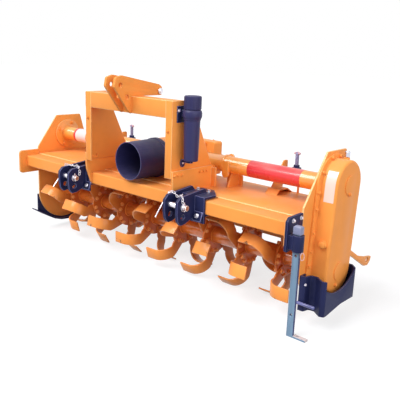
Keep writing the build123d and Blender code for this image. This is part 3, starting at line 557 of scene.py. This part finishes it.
# a pale film laid over the case's upper front flank and round its top: a painted highlight for the glare
# there
painted_glare_film = finish("painted_glare_film", (0.96, 0.68, 0.60), 0.34, coat=0.3, drift=0.06)


def given_wall(film, offset):
    """Gives a thin film its half millimetre, inwards or to both sides, and smooths it."""
    wall = film.modifiers.new("wall", "SOLIDIFY")
    wall.thickness = 0.0005
    wall.offset = offset
    bpy.ops.object.modifier_apply(modifier="wall")
    closed_up(film)
    bpy.ops.object.shade_smooth_by_angle(angle=math.radians(40))


film_near, film_far, film_proud = 1072, 1123, 0.0004
film_places = [(215, up) for up in (594, 610, 626, 642, 658)]
film_places += [round_spot(*drum_top, turn) for turn in range(172, 136, -6)]
rows = len(film_places) - 1
case_glare = started("case_painted_glare", bpy.ops.mesh.primitive_grid_add, x_subdivisions=4,
                    y_subdivisions=rows, size=1)
for vertex in case_glare.data.vertices:
    across = film_near + (film_far - film_near) * (vertex.co.x + 0.5)
    back, up = film_places[round((vertex.co.y + 0.5) * rows)]
    outward = Vector((0, back - drum_top[0], max(0, up - drum_top[1]))).normalized()
    vertex.co = seat(at(across, back, up), outward) + outward * film_proud
given_wall(case_glare, 0.0)
dress(case_glare, (painted_glare_film,))
belongs(case_glare, "frame", "orange_paint")

# ---- Filler cap ----
# A bright plated steel screw cap with a knurled grip and a dished top. It closes the short filler
# neck at the top of the gear case.
plated = finish("plated_cap", (0.66, 0.68, 0.76), 0.20, metal=1.0, drift=0.15, peel=300.0, dusty=0.05)
# the cap's edge finish is paler: a painted highlight along its edges
plated_highlight_edge = finish("plated_cap_highlight_edge", (0.86, 0.86, 0.92), 0.16, metal=1.0, drift=0.1, dusty=0.0)


def knurled_cap(node, ribs, cut, bevel, finishes, slot):
    """A cap the size of a node, with ribs round its side, rounded edges and a dished top."""
    low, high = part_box(node)
    middle = (low + high) / 2
    radius = (high.x - low.x) / 2
    sides = ribs * 3
    cap = started("made_" + node, bpy.ops.mesh.primitive_cylinder_add, vertices=sides, radius=radius,
                  depth=high.z - low.z, location=middle)
    edit_faces(cap)
    bpy.ops.mesh.bevel(offset=bevel, segments=3)
    edit_faces(cap, lambda face: face.normal.z > 0.99)
    bpy.ops.mesh.inset(thickness=radius * 0.25, depth=0.0)
    bpy.ops.mesh.inset(thickness=radius * 0.05, depth=-0.0015)

    def in_groove(face):
        turn = math.atan2(face.center.y - middle.y, face.center.x - middle.x)
        step = int((turn + math.pi) / (2 * math.pi) * sides + 0.01)
        return abs(face.normal.z) < 0.1 and step % 3 == 0

    edit_faces(cap, in_groove)
    bpy.ops.mesh.inset(thickness=radius * 0.015, depth=-cut, use_individual=True)
    bpy.ops.object.mode_set(mode="OBJECT")
    bpy.ops.object.shade_smooth_by_angle(angle=math.radians(24))
    dress(cap, finishes)
    belongs(cap, "frame", slot, node)


knurled_cap("filler_cap", 14, 0.0012, 0.004, (plated, plated_highlight_edge), "chromed_cap")

# ---- Mast ----
# Two folded uprights, a box crossbar and two top-link ears that carry the tractor's upper link. The
# feet are bolted down with rows of painted hexagon bolts.
softened("mast_uprights", 2.0)
softened("mast_feet", 1.8)
softened("mast_crossbar", 2.4)
softened("top_link_ears", 2.0)
front_face, foot_row_up = -43, 624
foot_bolts = []
for side in (-1, 1):
    for back in (-30, -2, 27, 165, 192, 220):
        foot_bolts.append((at(side * 355, back, foot_row_up), (side, 0, 0)))
    for back in (-30, -2, 27):
        foot_bolts.append((at(side * 333, back, foot_row_up), (-side, 0, 0)))
set_copies(small_hex, "mast_foot_bolts", foot_bolts)
set_copies(small_hex, "mast_lip_bolts",
           [(at(-322, front_face, 855), to_front), (at(315, front_face, 850), to_front),
            (at(354, 270, 639), to_rear), (at(-333, 33, 630), to_right)])
for side, edge in (("left", -341), ("right", 341)):
    weld("weld_crossbar_front_" + side, at(edge, front_face, 914), at(edge, front_face, 996), 4.0)
for near in (-42, -27, 27, 42):
    weld("weld_ear_" + str(near + 42), at(near, front_face, 930), at(near, front_face, 996), 5.0)

# ---- Gearbox ----
# A cast right-angle gearbox between the cross tubes, with a ribbed rear cover held by ten bolts and
# two plugs on top; painted with the frame.
softened("gearbox", 3.0, segments=3)
cover_back, flange_back, box_top = 470, 400, 735
cover_bolts = []
for across, up in ((184, 734), (226, 687), (240, 600), (180, 560), (-40, 734), (60, 734), (-98, 700),
                   (-98, 610)):
    cover_bolts.append((at(across, cover_back, up), to_rear))
cover_bolts += [(at(184, flange_back, 734), to_front), (at(226, flange_back, 687), to_front)]
set_copies(medium_hex, "gearbox_cover_bolts", cover_bolts)
for index, across in enumerate((-70, -10, 50, 110)):
    rib = started("gearbox_cover_rib_" + str(index + 1), bpy.ops.mesh.primitive_cube_add, size=1,
                  location=at(across, cover_back, 640), scale=(0.010, 0.024, 0.120))
    finished(rib, 3.5, segments=3)
set_copies(large_hex, "gearbox_top_plugs",
           [(at(40, 300, box_top), upwards), (at(-70, 350, box_top), upwards)])

# ---- Cross tubes ----
# The drive tube runs from the gearbox to the gear case, and a plain support tube to the left plate.
# Both are welded in; a strap round the coupling and a bolted round flange hold their ends.
tube_coat = finish("glossy_orange_coat", (0.95, 0.36, 0.06), 0.30, coat=0.9, gloss=0.5)
softened("drive_tube", 1.6, (tube_coat, orange_highlight_and_chips))
softened("support_tube", 1.6, (tube_coat, orange_highlight_and_chips))
softened("tube_saddle", 1.6)
tube_up, weld_radius = 652, 45.5
for name, across, radius in (
        ("drive_tube_right", plate_right, weld_radius), ("drive_tube_left", 131, 47),
        ("support_tube_left", plate_left, weld_radius), ("support_tube_right", -131, weld_radius)):
    ring_weld("weld_" + name, across, drive_back, tube_up, radius)
flange_bolts = []
for turn in (-116.6, -26.6, 63.4, 153.4):
    flange_bolts.append((at(plate_left - 1, *round_spot(drive_back, tube_up, 77.5, turn)), to_right))
set_copies(medium_hex, "support_flange_bolts", flange_bolts)
red_band = finish("plain_red_band", (0.72, 0.035, 0.045), 0.30, coat=0.5, drift=0.1, dusty=0.25)
pale_band = finish("plain_pale_band", (0.90, 0.74, 0.74), 0.34, coat=0.4, drift=0.1)
for name, left, right_end, colour in (
        ("drive_tube_band", 568, 888, red_band), ("support_tube_band", -893, -784, pale_band),
        ("support_tube_edge_band", -912, -893.2, red_band)):
    band = started(name, bpy.ops.mesh.primitive_cylinder_add, vertices=96, radius=0.0452,
                   depth=(right_end - left) / 1000, end_fill_type="NOTHING",
                   location=at((left + right_end) / 2, drive_back, tube_up),
                   rotation=(0, math.radians(90), 0))
    given_wall(band, -1.0)
    dress(band, (colour,))
    belongs(band, "frame", "orange_paint")

# ---- Input shaft ----
# A 1 3/8 inch steel shaft with six rolled splines and a groove for the yoke's lock. It is left bare
# and oiled.
bare_steel = finish("oiled_steel", (0.40, 0.37, 0.36), 0.32, metal=1.0, drift=0.3, peel=260.0, dusty=0.0,
                    chipped=0.3, under=(0.20, 0.12, 0.08))
# the shaft's edge finish is paler: a painted highlight along its edges
bare_highlight_edge = finish("oiled_steel_highlight_edge", (0.62, 0.60, 0.60), 0.24, metal=1.0, drift=0.2, dusty=0.0)
shaft = softened("pto_shaft", 1.2, (bare_steel, bare_highlight_edge), "bare_steel", "input_shaft")
shaft_axis = at(0, 90, 647)
splines_end = 0.095


def between_splines(face):
    gap = face.center - shaft_axis
    out = math.hypot(gap.x, gap.z)
    turn = math.degrees(math.atan2(gap.z, gap.x)) % 60
    on_side = abs(face.normal.y) < 0.2 and 0.0160 < out < 0.0178
    return on_side and 15 < turn < 45 and gap.y < splines_end


edit_faces(shaft, between_splines)
bpy.ops.mesh.inset(thickness=0.0003, depth=-0.0022)
bpy.ops.object.mode_set(mode="OBJECT")
bpy.ops.object.shade_smooth_by_angle(angle=math.radians(24))

# ---- Shaft guard ----
# A moulded navy plastic cone round the input shaft. It is open in front and screwed to the gearbox's
# nose.
plastic = finish("navy_plastic", (0.027, 0.026, 0.100), 0.44, drift=0.2, peel=420.0, bump=0.05,
                 dusty=0.10, gloss=0.3)
# the plastic's edge finish is lighter than the moulding: a painted highlight along the edges
plastic_highlight_edge = finish("plastic_highlight_edge", (0.10, 0.10, 0.24), 0.40, drift=0.2, peel=420.0, bump=0.05)
plastic_pair = (plastic, plastic_highlight_edge)
softened("pto_guard", 1.2, plastic_pair, "navy_plastic")

# ---- Lower hitch brackets ----
# Cut and welded plate clevises, painted navy and clamped round the beam by bolts through the plate
# above, with a bent foot in front; each carries a loose lower-link pin.
navy_coat = finish("navy_coat", (0.015, 0.019, 0.072), 0.46, coat=0.04, drift=0.25, dusty=0.10, gloss=0.15)
# the navy edge finish is much lighter and bluer than the coat: a painted highlight of the sky along the
# edges, with a few real chips
navy_highlight_and_chips = finish("navy_highlight_and_chips", (0.13, 0.14, 0.36), 0.34, coat=0.3, chipped=0.14, under=(0.30, 0.26, 0.30))
navy_pair = (navy_coat, navy_highlight_and_chips)
zinc = finish("zinc_plate", (0.80, 0.78, 0.84), 0.30, metal=1.0, drift=0.25, peel=240.0, dusty=0.05)
# the zinc edge finish is paler: a painted highlight along the edges
zinc_highlight = finish("zinc_plate_highlight_edge", (0.92, 0.90, 0.95), 0.24, metal=1.0, drift=0.1, dusty=0.0)
zinc_pair = (zinc, zinc_highlight)
softened("hitch_bracket_left", 2.2, navy_pair, "navy_paint")
softened("hitch_bracket_right", 2.2, navy_pair, "navy_paint")
bracket_centre = 435
top_bolts = []
for centre in (-bracket_centre, bracket_centre):
    for across in (centre - 34, centre + 39.5):
        top_bolts.append((at(across, 104, 545), upwards))
set_copies(medium_hex, "bracket_top_bolts", top_bolts, zinc_pair, "zinc_steel")
foot_tilt = math.radians(20)
foot_faces = Vector((0, -math.cos(foot_tilt), math.sin(foot_tilt)))
front_bolts = []
for side, left, right_end in (("right", 489, 543), ("left", -381, -334)):
    middle = (left + right_end) / 2
    clamp = started("bracket_clamp_foot_" + side, bpy.ops.mesh.primitive_cube_add, size=1,
                    location=at(middle, -21, 446), scale=((right_end - left) / 1000, 0.010, 0.050),
                    rotation=(-foot_tilt, 0, 0))
    finished(clamp, 3.0, navy_pair, "navy_paint", segments=3)
    front_bolts.append((at(middle - 4, -21, 447) + foot_faces * 0.005, tuple(foot_faces)))
set_copies(medium_hex, "bracket_front_bolts", front_bolts, zinc_pair, "zinc_steel", seated=False)

# ---- Lower-link pins, handles and chains ----
# Turned steel pins through the clevis ears. A bent wire handle stays with each pin's head, a short
# link chain hangs over the ears from it, and a linch pin with a spring ring locks the far end.
softened("hitch_pins", 1.4, zinc_pair, "zinc_steel")
pin_brown = finish("pin_end_brown", (0.42, 0.17, 0.10), 0.34, coat=0.3, drift=0.4, dusty=0.0)
# the pin end's edge finish is pale: a painted highlight round the brown disc
pin_brown_highlight_edge = finish("pin_end_brown_highlight_edge", (0.80, 0.62, 0.52), 0.26, coat=0.3, drift=0.2, dusty=0.0)
chain_link = started("chain_link", bpy.ops.mesh.primitive_torus_add, major_radius=0.0052,
                     minor_radius=0.0016, major_segments=12, minor_segments=6)
for vertex in chain_link.data.vertices:
    if abs(vertex.co.y) > 0.0005:
        vertex.co.y += math.copysign(0.0035, vertex.co.y)
bpy.ops.object.shade_smooth()


def along(*points):
    """Places on the machine for a list of (across, back, up) points."""
    return [at(*point) for point in points]


def chain(name, places):
    """A link chain through places: copies of one link, each a quarter turn from the last."""
    link_pitch = 0.0145
    made = []
    gone = 0.0
    for first, second in zip(places, places[1:]):
        run = second - first
        while gone < run.length:
            mesh = chain_link.data.copy()
            link = bpy.data.objects.new(name, mesh)
            bpy.context.scene.collection.objects.link(link)
            facing = run.to_track_quat("Y", "Z").to_matrix().to_4x4()
            turn = math.radians(45 + 90 * (len(made) % 2) + rng.uniform(-8, 8))
            spot = Matrix.Translation(first + run.normalized() * gone)
            mesh.transform(spot @ facing @ Matrix.Rotation(turn, 4, "Y"))
            made.append(link)
            gone += link_pitch
        gone -= run.length
    pick(*made)
    bpy.ops.object.join()
    piece = bpy.context.object
    piece.name = name
    dress(piece, zinc_pair)
    belongs(piece, "frame", "zinc_steel")


pin_back, pin_up = -100, 500
for side, centre in (("left", -bracket_centre), ("right", bracket_centre)):
    tip = started("hitch_pin_end_" + side, bpy.ops.mesh.primitive_cylinder_add, vertices=28,
                  radius=0.0143, depth=0.012, location=at(centre + 74.6, pin_back, pin_up),
                  rotation=(0, math.radians(90), 0))
    finished(tip, 3.4, (pin_brown, pin_brown_highlight_edge), "zinc_steel", segments=3)
    ring = ring_places((centre + 63, pin_back - 4, pin_up), (0, 17, 0), (3, 0, 17), 30)
    rod("linch_ring_" + side, ring, 3.2, zinc_pair, "zinc_steel", loop=True)
    pin_line = along((centre + 62, -102, 527), (centre + 62, -101, 512), (centre + 62, -99, 480))
    rod("linch_pin_" + side, pin_line, 6.5, zinc_pair, "zinc_steel")
handle_right = along((378, -84, 553), (375, -92, 546), (373, -103, 536), (371, -112, 524), (370, -118, 510),
                     (371, -128, 497), (374, -150, 476), (379, -170, 458), (383, -184, 445))
rod("pin_handle_right", handle_right, 7.5, zinc_pair, "zinc_steel")
handle_left = along((-489, -84, 548), (-491, -95, 536), (-493, -108, 516), (-495, -124, 486),
                    (-497, -144, 459), (-500, -163, 434))
rod("pin_handle_left", handle_left, 6.0, zinc_pair, "zinc_steel")
chain("pin_chain_right",
      along((378, -85, 554), (393, -80, 562), (411, -77, 552), (433, -84, 541), (455, -92, 548),
            (478, -101, 561), (491, -109, 548), (497, -114, 530), (499, -107, 512)))
chain("pin_chain_left",
      along((-489, -86, 549), (-480, -88, 562), (-460, -86, 563), (-440, -74, 563), (-420, -66, 558),
            (-401, -66, 566), (-384, -66, 556), (-376, -64, 532), (-373, -72, 510)))
bpy.data.objects.remove(chain_link)

# ---- Parking stand ----
# A blue-grey flat-bar leg slides in a round navy socket on a plate bolted to the beam's right end; a
# pin with a ring goes through one of its holes, and its foot is worn pale by the ground.
softened("stand_bracket", 2.0, navy_pair, "navy_paint")
beam_end = 1044
stand_bolts = [(at(beam_end, back, up), to_right) for back, up in ((13, 535), (77, 537), (2, 442))]
set_copies(small_hex, "stand_plate_bolts", stand_bolts, zinc_pair, "zinc_steel")
grey_coat = finish("blue_grey_coat", (0.16, 0.26, 0.38), 0.42, coat=0.15, drift=0.2, gloss=0.4)
# the blue-grey edge finish is lighter than the coat: a painted highlight along the edges, with real chips
grey_highlight_and_chips = finish("blue_grey_highlight_and_chips", (0.30, 0.36, 0.52), 0.34, coat=0.3, chipped=0.2, under=(0.4, 0.36, 0.36))
worn_foot = finish("worn_foot", (0.62, 0.52, 0.52), 0.45, drift=0.4, chipped=0.42, under=(0.30, 0.26, 0.28),
                   chip_size=45.0)
worn_head = finish("worn_head", (0.24, 0.26, 0.42), 0.36, coat=0.2, drift=0.4, chipped=0.36,
                   under=(0.80, 0.76, 0.84), chip_size=30.0)
# a dark navy for the leg's right-hand side: painted shade on the side turned from the light
painted_shade_side = finish("painted_shade_side", (0.055, 0.065, 0.16), 0.50, drift=0.3, gloss=0.2)
leg = softened("stand_leg", 1.4, (grey_coat, grey_highlight_and_chips, worn_foot, worn_head, painted_shade_side), "grey_paint",
               "stand")
leg_low, leg_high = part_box("stand_leg")
foot_top = leg_low.z + 0.011
head_bottom = leg_high.z - 0.034
for face in leg.data.polygons:
    if face.center.z < foot_top:
        face.material_index = 2
    elif face.center.z > head_bottom:
        face.material_index = 3
    # faces looking right take the dark finish: painted shade
    elif face.normal.x > 0.7:
        face.material_index = 4
clip_pink = finish("clip_copper", (0.70, 0.42, 0.42), 0.30, coat=0.3, drift=0.2)
clip_pair = (clip_pink, zinc_highlight)
clip_ring = ring_places((1117, -9, 392), (8, 3, 0), (0, 0, 17), 28)
rod("stand_clip_ring", clip_ring, 3.4, clip_pair, "zinc_steel", loop=True)
clip_line = along((1100.5, -6, 402), (1107, -7, 402), (1112, -8, 400))
rod("stand_clip_pin", clip_line, 6.0, clip_pair, "zinc_steel")

# ---- Skids ----
# Bent and welded navy plate shoes under each side, bolted to the side plates. Soil keeps their soles
# bare and shiny; a round bar braces the right one in front.
navy_worn = finish("navy_worn_sole", (0.05, 0.05, 0.09), 0.40, drift=0.3, chipped=0.45,
                   under=(0.34, 0.31, 0.33), chip_size=24.0)
for node in ("right_skid", "left_skid"):
    shoe = softened(node, 1.8, (navy_coat, navy_highlight_and_chips, navy_worn), "navy_paint")
    for face in shoe.data.polygons:
        if face.normal.z < -0.6:
            face.material_index = 2
# the round bar is all in the lighter navy edge finish: a painted highlight along the bar
softened("skid_bar", 1.2, (navy_highlight_and_chips, navy_highlight_and_chips), "navy_paint")
left_skid_bolts = [(at(plate_outside - 3, back, 150), to_left) for back in (150, 390)]
set_copies(small_hex, "left_skid_bolts", left_skid_bolts, zinc_pair, "zinc_steel")
skid_hex = hex_head("skid_hex", 9, 5, 12)
set_copies(skid_hex, "right_skid_bolt", [(at(1073, 112, 213), to_front)], zinc_pair, "zinc_steel")
bpy.data.objects.remove(skid_hex)

# ---- Tool tube ----
# A moulded navy plastic tube for papers and small tools, with a ribbed screw cap, held beside the
# mast by a bolted strap above and a clip below.


def turned(name, sides, across, back, profile):
    """A round shape drawn up from a disc through a profile of (radius, up) places."""
    radius, up = profile[0]
    piece = started(name, bpy.ops.mesh.primitive_circle_add, vertices=sides, radius=radius / 1000,
                    fill_type="NGON", location=at(across, back, up))
    bpy.ops.object.mode_set(mode="EDIT")
    bpy.ops.mesh.select_all(action="SELECT")
    for (old_radius, old_up), (radius, up) in zip(profile, profile[1:]):
        bpy.ops.mesh.extrude_region_move(TRANSFORM_OT_translate={"value": (0, 0, (up - old_up) / 1000)})
        swell = radius / old_radius
        bpy.ops.transform.resize(value=(swell, swell, 1), center_override=at(across, back, up))
    bpy.ops.object.mode_set(mode="OBJECT")
    closed_up(piece)
    return piece


tool_across, tool_back = 405, 36
tool_body = turned(
    "made_tool_tube", 56, tool_across, tool_back,
    ((34.5, 703.5), (36.5, 706), (41.0, 908), (43.5, 911), (43.5, 915), (45.0, 918), (47.6, 923),
     (49.0, 931), (49.0, 943), (47.6, 951), (45.0, 956), (42.6, 958.5), (42.0, 959)))
bpy.ops.object.shade_smooth_by_angle(angle=math.radians(30))
dress(tool_body, plastic_pair)
belongs(tool_body, "frame", "navy_plastic", "tool_tube")
lower_tab = started("tool_tube_lower_tab", bpy.ops.mesh.primitive_cylinder_add, vertices=28, radius=0.017,
                    depth=0.008, location=at(347, tool_back, 683), rotation=(0, math.radians(90), 0),
                    scale=(1.25, 1.0, 1.0))
finished(lower_tab, 2.0, plastic_pair, "navy_plastic")
knurled_cap("tool_tube_cap", 20, 0.0010, 0.006, plastic_pair, "navy_plastic")
softened("tool_tube_holders", 1.4, navy_pair, "navy_paint")
set_copies(small_hex, "tool_tube_bolts",
           [(at(349, -2, 952), to_right), (at(349, 32, 952), to_right), (at(351, 38, 684), to_right)],
           zinc_pair, "zinc_steel")

# ---- Top-link brace pin ----
# A zinc-plated steel pin with a head, pushed through the ears' rear hole, where the brace to the
# gearbox would be held.
softened("top_link_brace_pin", 1.4, zinc_pair, "zinc_steel")

# ---- Rear board ----
# A hinged sheet that levels the soil, hung on lugs behind the deck and stiffened by pressed strips.
# Two screws on arched brackets set how far it opens.
softened("adjuster_brackets", 1.2)
softened("rear_board", 1.2, body="rear_board")
hinge_back, hinge_up = 514, 517
lean = math.atan2(118, 308)
board_faces = Vector((0, math.cos(lean), math.sin(lean)))


def board_place(across, down, proud):
    """A place on the board's rear face: down from the hinge along the sheet, proud of it."""
    out = 2.5 + proud
    back = hinge_back + down * math.sin(lean) + out * math.cos(lean)
    up = hinge_up - down * math.cos(lean) + out * math.sin(lean)
    return at(across, back, up)


def board_strip(name, across, wide, top_down, low_down, proud):
    """A pressed stiffener with sloped flanks, welded to the rear face of the board."""
    tall = low_down - top_down
    strip = started(name, bpy.ops.mesh.primitive_cube_add, size=1,
                    location=board_place(across, (top_down + low_down) / 2, proud / 2 - 1),
                    scale=(wide / 1000, (proud + 2) / 1000, tall / 1000), rotation=(lean, 0, 0))
    edit_faces(strip, lambda face: face.normal.dot(board_faces) > 0.9)
    bpy.ops.mesh.inset(thickness=min(wide, tall) / 5000, depth=0)
    bpy.ops.transform.translate(value=board_faces * 0.003)
    bpy.ops.object.mode_set(mode="OBJECT")
    finished(strip, 2.0, body="rear_board")


for index, across in enumerate((-900, -540, -180, 180, 540, 900)):
    board_strip("board_rib_" + str(index + 1), across, 44, 46, 286, 10)
board_strip("board_trailing_strip", -7.5, 2020, 292, 322, 8)
strip_bolts = []
for across in (-960, -640, -320, 0, 320, 640, 945):
    strip_bolts.append((board_place(across, 307, 10.5), board_faces))
set_copies(small_hex, "board_strip_bolts", strip_bolts, body="rear_board", seated=False)
softened("rear_board_lugs", 1.2)
softened("rear_board_hinge_pin", 1.0, zinc_pair, "zinc_steel")
screw_violet = finish("screw_violet", (0.30, 0.28, 0.46), 0.40, coat=0.2, drift=0.3)
screw_pink = finish("screw_top", (0.66, 0.40, 0.46), 0.36, coat=0.2, drift=0.3)
screw_finishes = (screw_violet, screw_violet, navy_coat, screw_pink)
screws = softened("adjuster_screws", 1.0, screw_finishes, "zinc_steel")
for face in screws.data.polygons:
    if face.center.z < 0.675:
        face.material_index = 2
    if face.center.z > 0.730:
        face.material_index = 3
root, crest, half_pitch, thread_low = 9.2, 10.672, 1.1, 675
thread_profile = [(root, thread_low)]
for half_turn in range(1, 55):
    thread_profile.append((crest if half_turn % 2 else root, thread_low + half_pitch * half_turn))
for side, across in (("left", -580), ("right", 724)):
    thread = turned("adjuster_thread_" + side, 24, across, 524, thread_profile)
    dress(thread, (screw_violet,))
    belongs(thread, "frame", "zinc_steel")

# ---- Rear arms ----
# Thick profile-cut steel arms, painted orange and bolted behind the side plates. A bored eye at the
# end takes a roller or a tail wheel.
softened("rear_arms", 1.8)
arm_bolts = []
for side, outer in ((-1, -1069), (1, 1054)):
    for back, up in ((486, 310), (486, 275), (540, 275)):
        arm_bolts.append((at(outer, back, up), (side, 0, 0)))
set_copies(medium_hex, "rear_arm_bolts", arm_bolts)

# ---- Rotor ----
# A steel tube with eight welded flanges. Six curved blades are bolted to each, three to a hand. The
# tube and flanges are painted darker and the blades darker towards the tube, as painted shade under
# the deck, and the blades' paint is scoured off in places towards their tips.
# the tube's and flanges' coats are darker and redder than the frame's: painted shade under the deck
rotor_coat = finish("shaded_glossy_orange", (0.89, 0.235, 0.034), 0.27, coat=1.0, gloss=0.5, drift=0.3)
flange_coat = finish("shaded_orange", (0.68, 0.150, 0.018), 0.40, coat=0.25, gloss=0.3, drift=0.35)
# the rotor's edge finish is lighter than its coat: a painted highlight along the edges, with real chips
rotor_highlight_and_chips = finish("rotor_orange_highlight_and_chips", (0.93, 0.36, 0.10), 0.36, coat=0.3, gloss=0.3, chipped=0.15,
                     under=(0.40, 0.15, 0.06))
softened("rotor_tube", 1.4, (rotor_coat, rotor_highlight_and_chips), body="rotor")
softened("rotor_flanges", 1.4, (flange_coat, rotor_highlight_and_chips), body="rotor")
scoured = finish("scoured_blade", (0.95, 0.33, 0.065), 0.40, coat=0.22, drift=0.3, gloss=0.25, dusty=0.12)
# the blades' edge finish is lighter: a painted highlight along their edges, with real chips
scoured_highlight_and_chips = finish("scoured_blade_highlight_and_chips", (0.90, 0.38, 0.13), 0.36, coat=0.2, chipped=0.34,
                      under=(0.26, 0.12, 0.07), chip_size=40.0)
rotor_axis = at(0, rotor_back, rotor_up)
shade_brown = (0.56, 0.115, 0.013, 1.0)
dark_steel = (0.16, 0.055, 0.03, 1.0)
for coat in (scoured, scoured_highlight_and_chips):
    tree = coat.node_tree
    shader = next(node for node in tree.nodes if node.type == "BSDF_PRINCIPLED")
    point = add_node(tree, "ShaderNodeTexCoord").outputs["Object"]
    away = add_node(tree, "ShaderNodeVectorMath", {"operation": "SUBTRACT"}, _0=point, _1=rotor_axis)
    flat = add_node(tree, "ShaderNodeVectorMath", {"operation": "MULTIPLY"}, _0=away.outputs[0], _1=(0, 1, 1))
    reach = add_node(tree, "ShaderNodeVectorMath", {"operation": "LENGTH"}, _0=flat.outputs[0])
    rub = add_node(tree, "ShaderNodeTexNoise", Vector=point, Scale=28.0, Detail=6.0, Roughness=0.7)
    tipped = add_node(tree, "ShaderNodeMapRange", Value=reach.outputs["Value"], From_Min=0.190,
                      From_Max=0.252, To_Min=0.0, To_Max=0.24)
    worn = maths(tree, "ADD", rub.outputs["Fac"], tipped.outputs[0])
    bare = add_node(tree, "ShaderNodeMapRange", Value=worn, From_Min=0.80, From_Max=0.86)
    # towards the tube the blades turn dark brown: painted shade under the deck
    inner = add_node(tree, "ShaderNodeMapRange", Value=reach.outputs["Value"], From_Min=0.215,
                     From_Max=0.110, To_Min=0.0, To_Max=0.65)
    painted = shader.inputs["Base Color"].links[0].from_socket
    shaded_inner = mix_colours(tree, inner.outputs[0], painted, shade_brown)
    tree.links.new(mix_colours(tree, bare.outputs[0], shaded_inner, dark_steel), shader.inputs["Base Color"])
first_flange, flange_pitch, helix_step = 845, 238.3, 15
tip_radius, blade_offset, blade_relief = 251, 33, math.radians(30)
blade_lag = math.degrees(math.asin(blade_offset * math.cos(blade_relief) / tip_radius))
first_turn = 180 + helix_step / 2 - blade_lag
blade_holes = ((-54, 78), (-22, 90))
heads = []
nuts = []
for index in range(8):
    flange = str(index + 1)
    softened("rotor_blades_" + flange, 2.2, (scoured, scoured_highlight_and_chips), body="rotor")
    centre = first_flange - flange_pitch * index
    for side, across in (("right", centre + 6), ("left", centre - 6)):
        ring_weld("weld_flange_" + flange + "_" + side, across, rotor_back, rotor_up, weld_radius, "rotor",
                  step=7.0)
    for hand_turn, head_at, nut_at in ((-60, 13, -5), (0, 5, -13)):
        for blade in range(3):
            turn = math.radians(first_turn + hand_turn - helix_step * index + 120 * blade)
            for back, up in blade_holes:
                spot = (rotor_back + back * math.cos(turn) - up * math.sin(turn),
                        rotor_up + back * math.sin(turn) + up * math.cos(turn))
                heads.append((at(centre + head_at, *spot), to_right))
                nuts.append((at(centre + nut_at, *spot), to_left))
# bolt heads and nuts are in the lighter edge finish: painted highlights on the dark flanges
set_copies(medium_hex, "rotor_bolt_heads", heads, (rotor_highlight_and_chips,), body="rotor", seated=False)
set_copies(stud_nut, "rotor_bolt_nuts", nuts, (rotor_highlight_and_chips,), body="rotor", seated=False)
for pattern in (small_hex, medium_hex, large_hex, stud_nut):
    bpy.data.objects.remove(pattern)
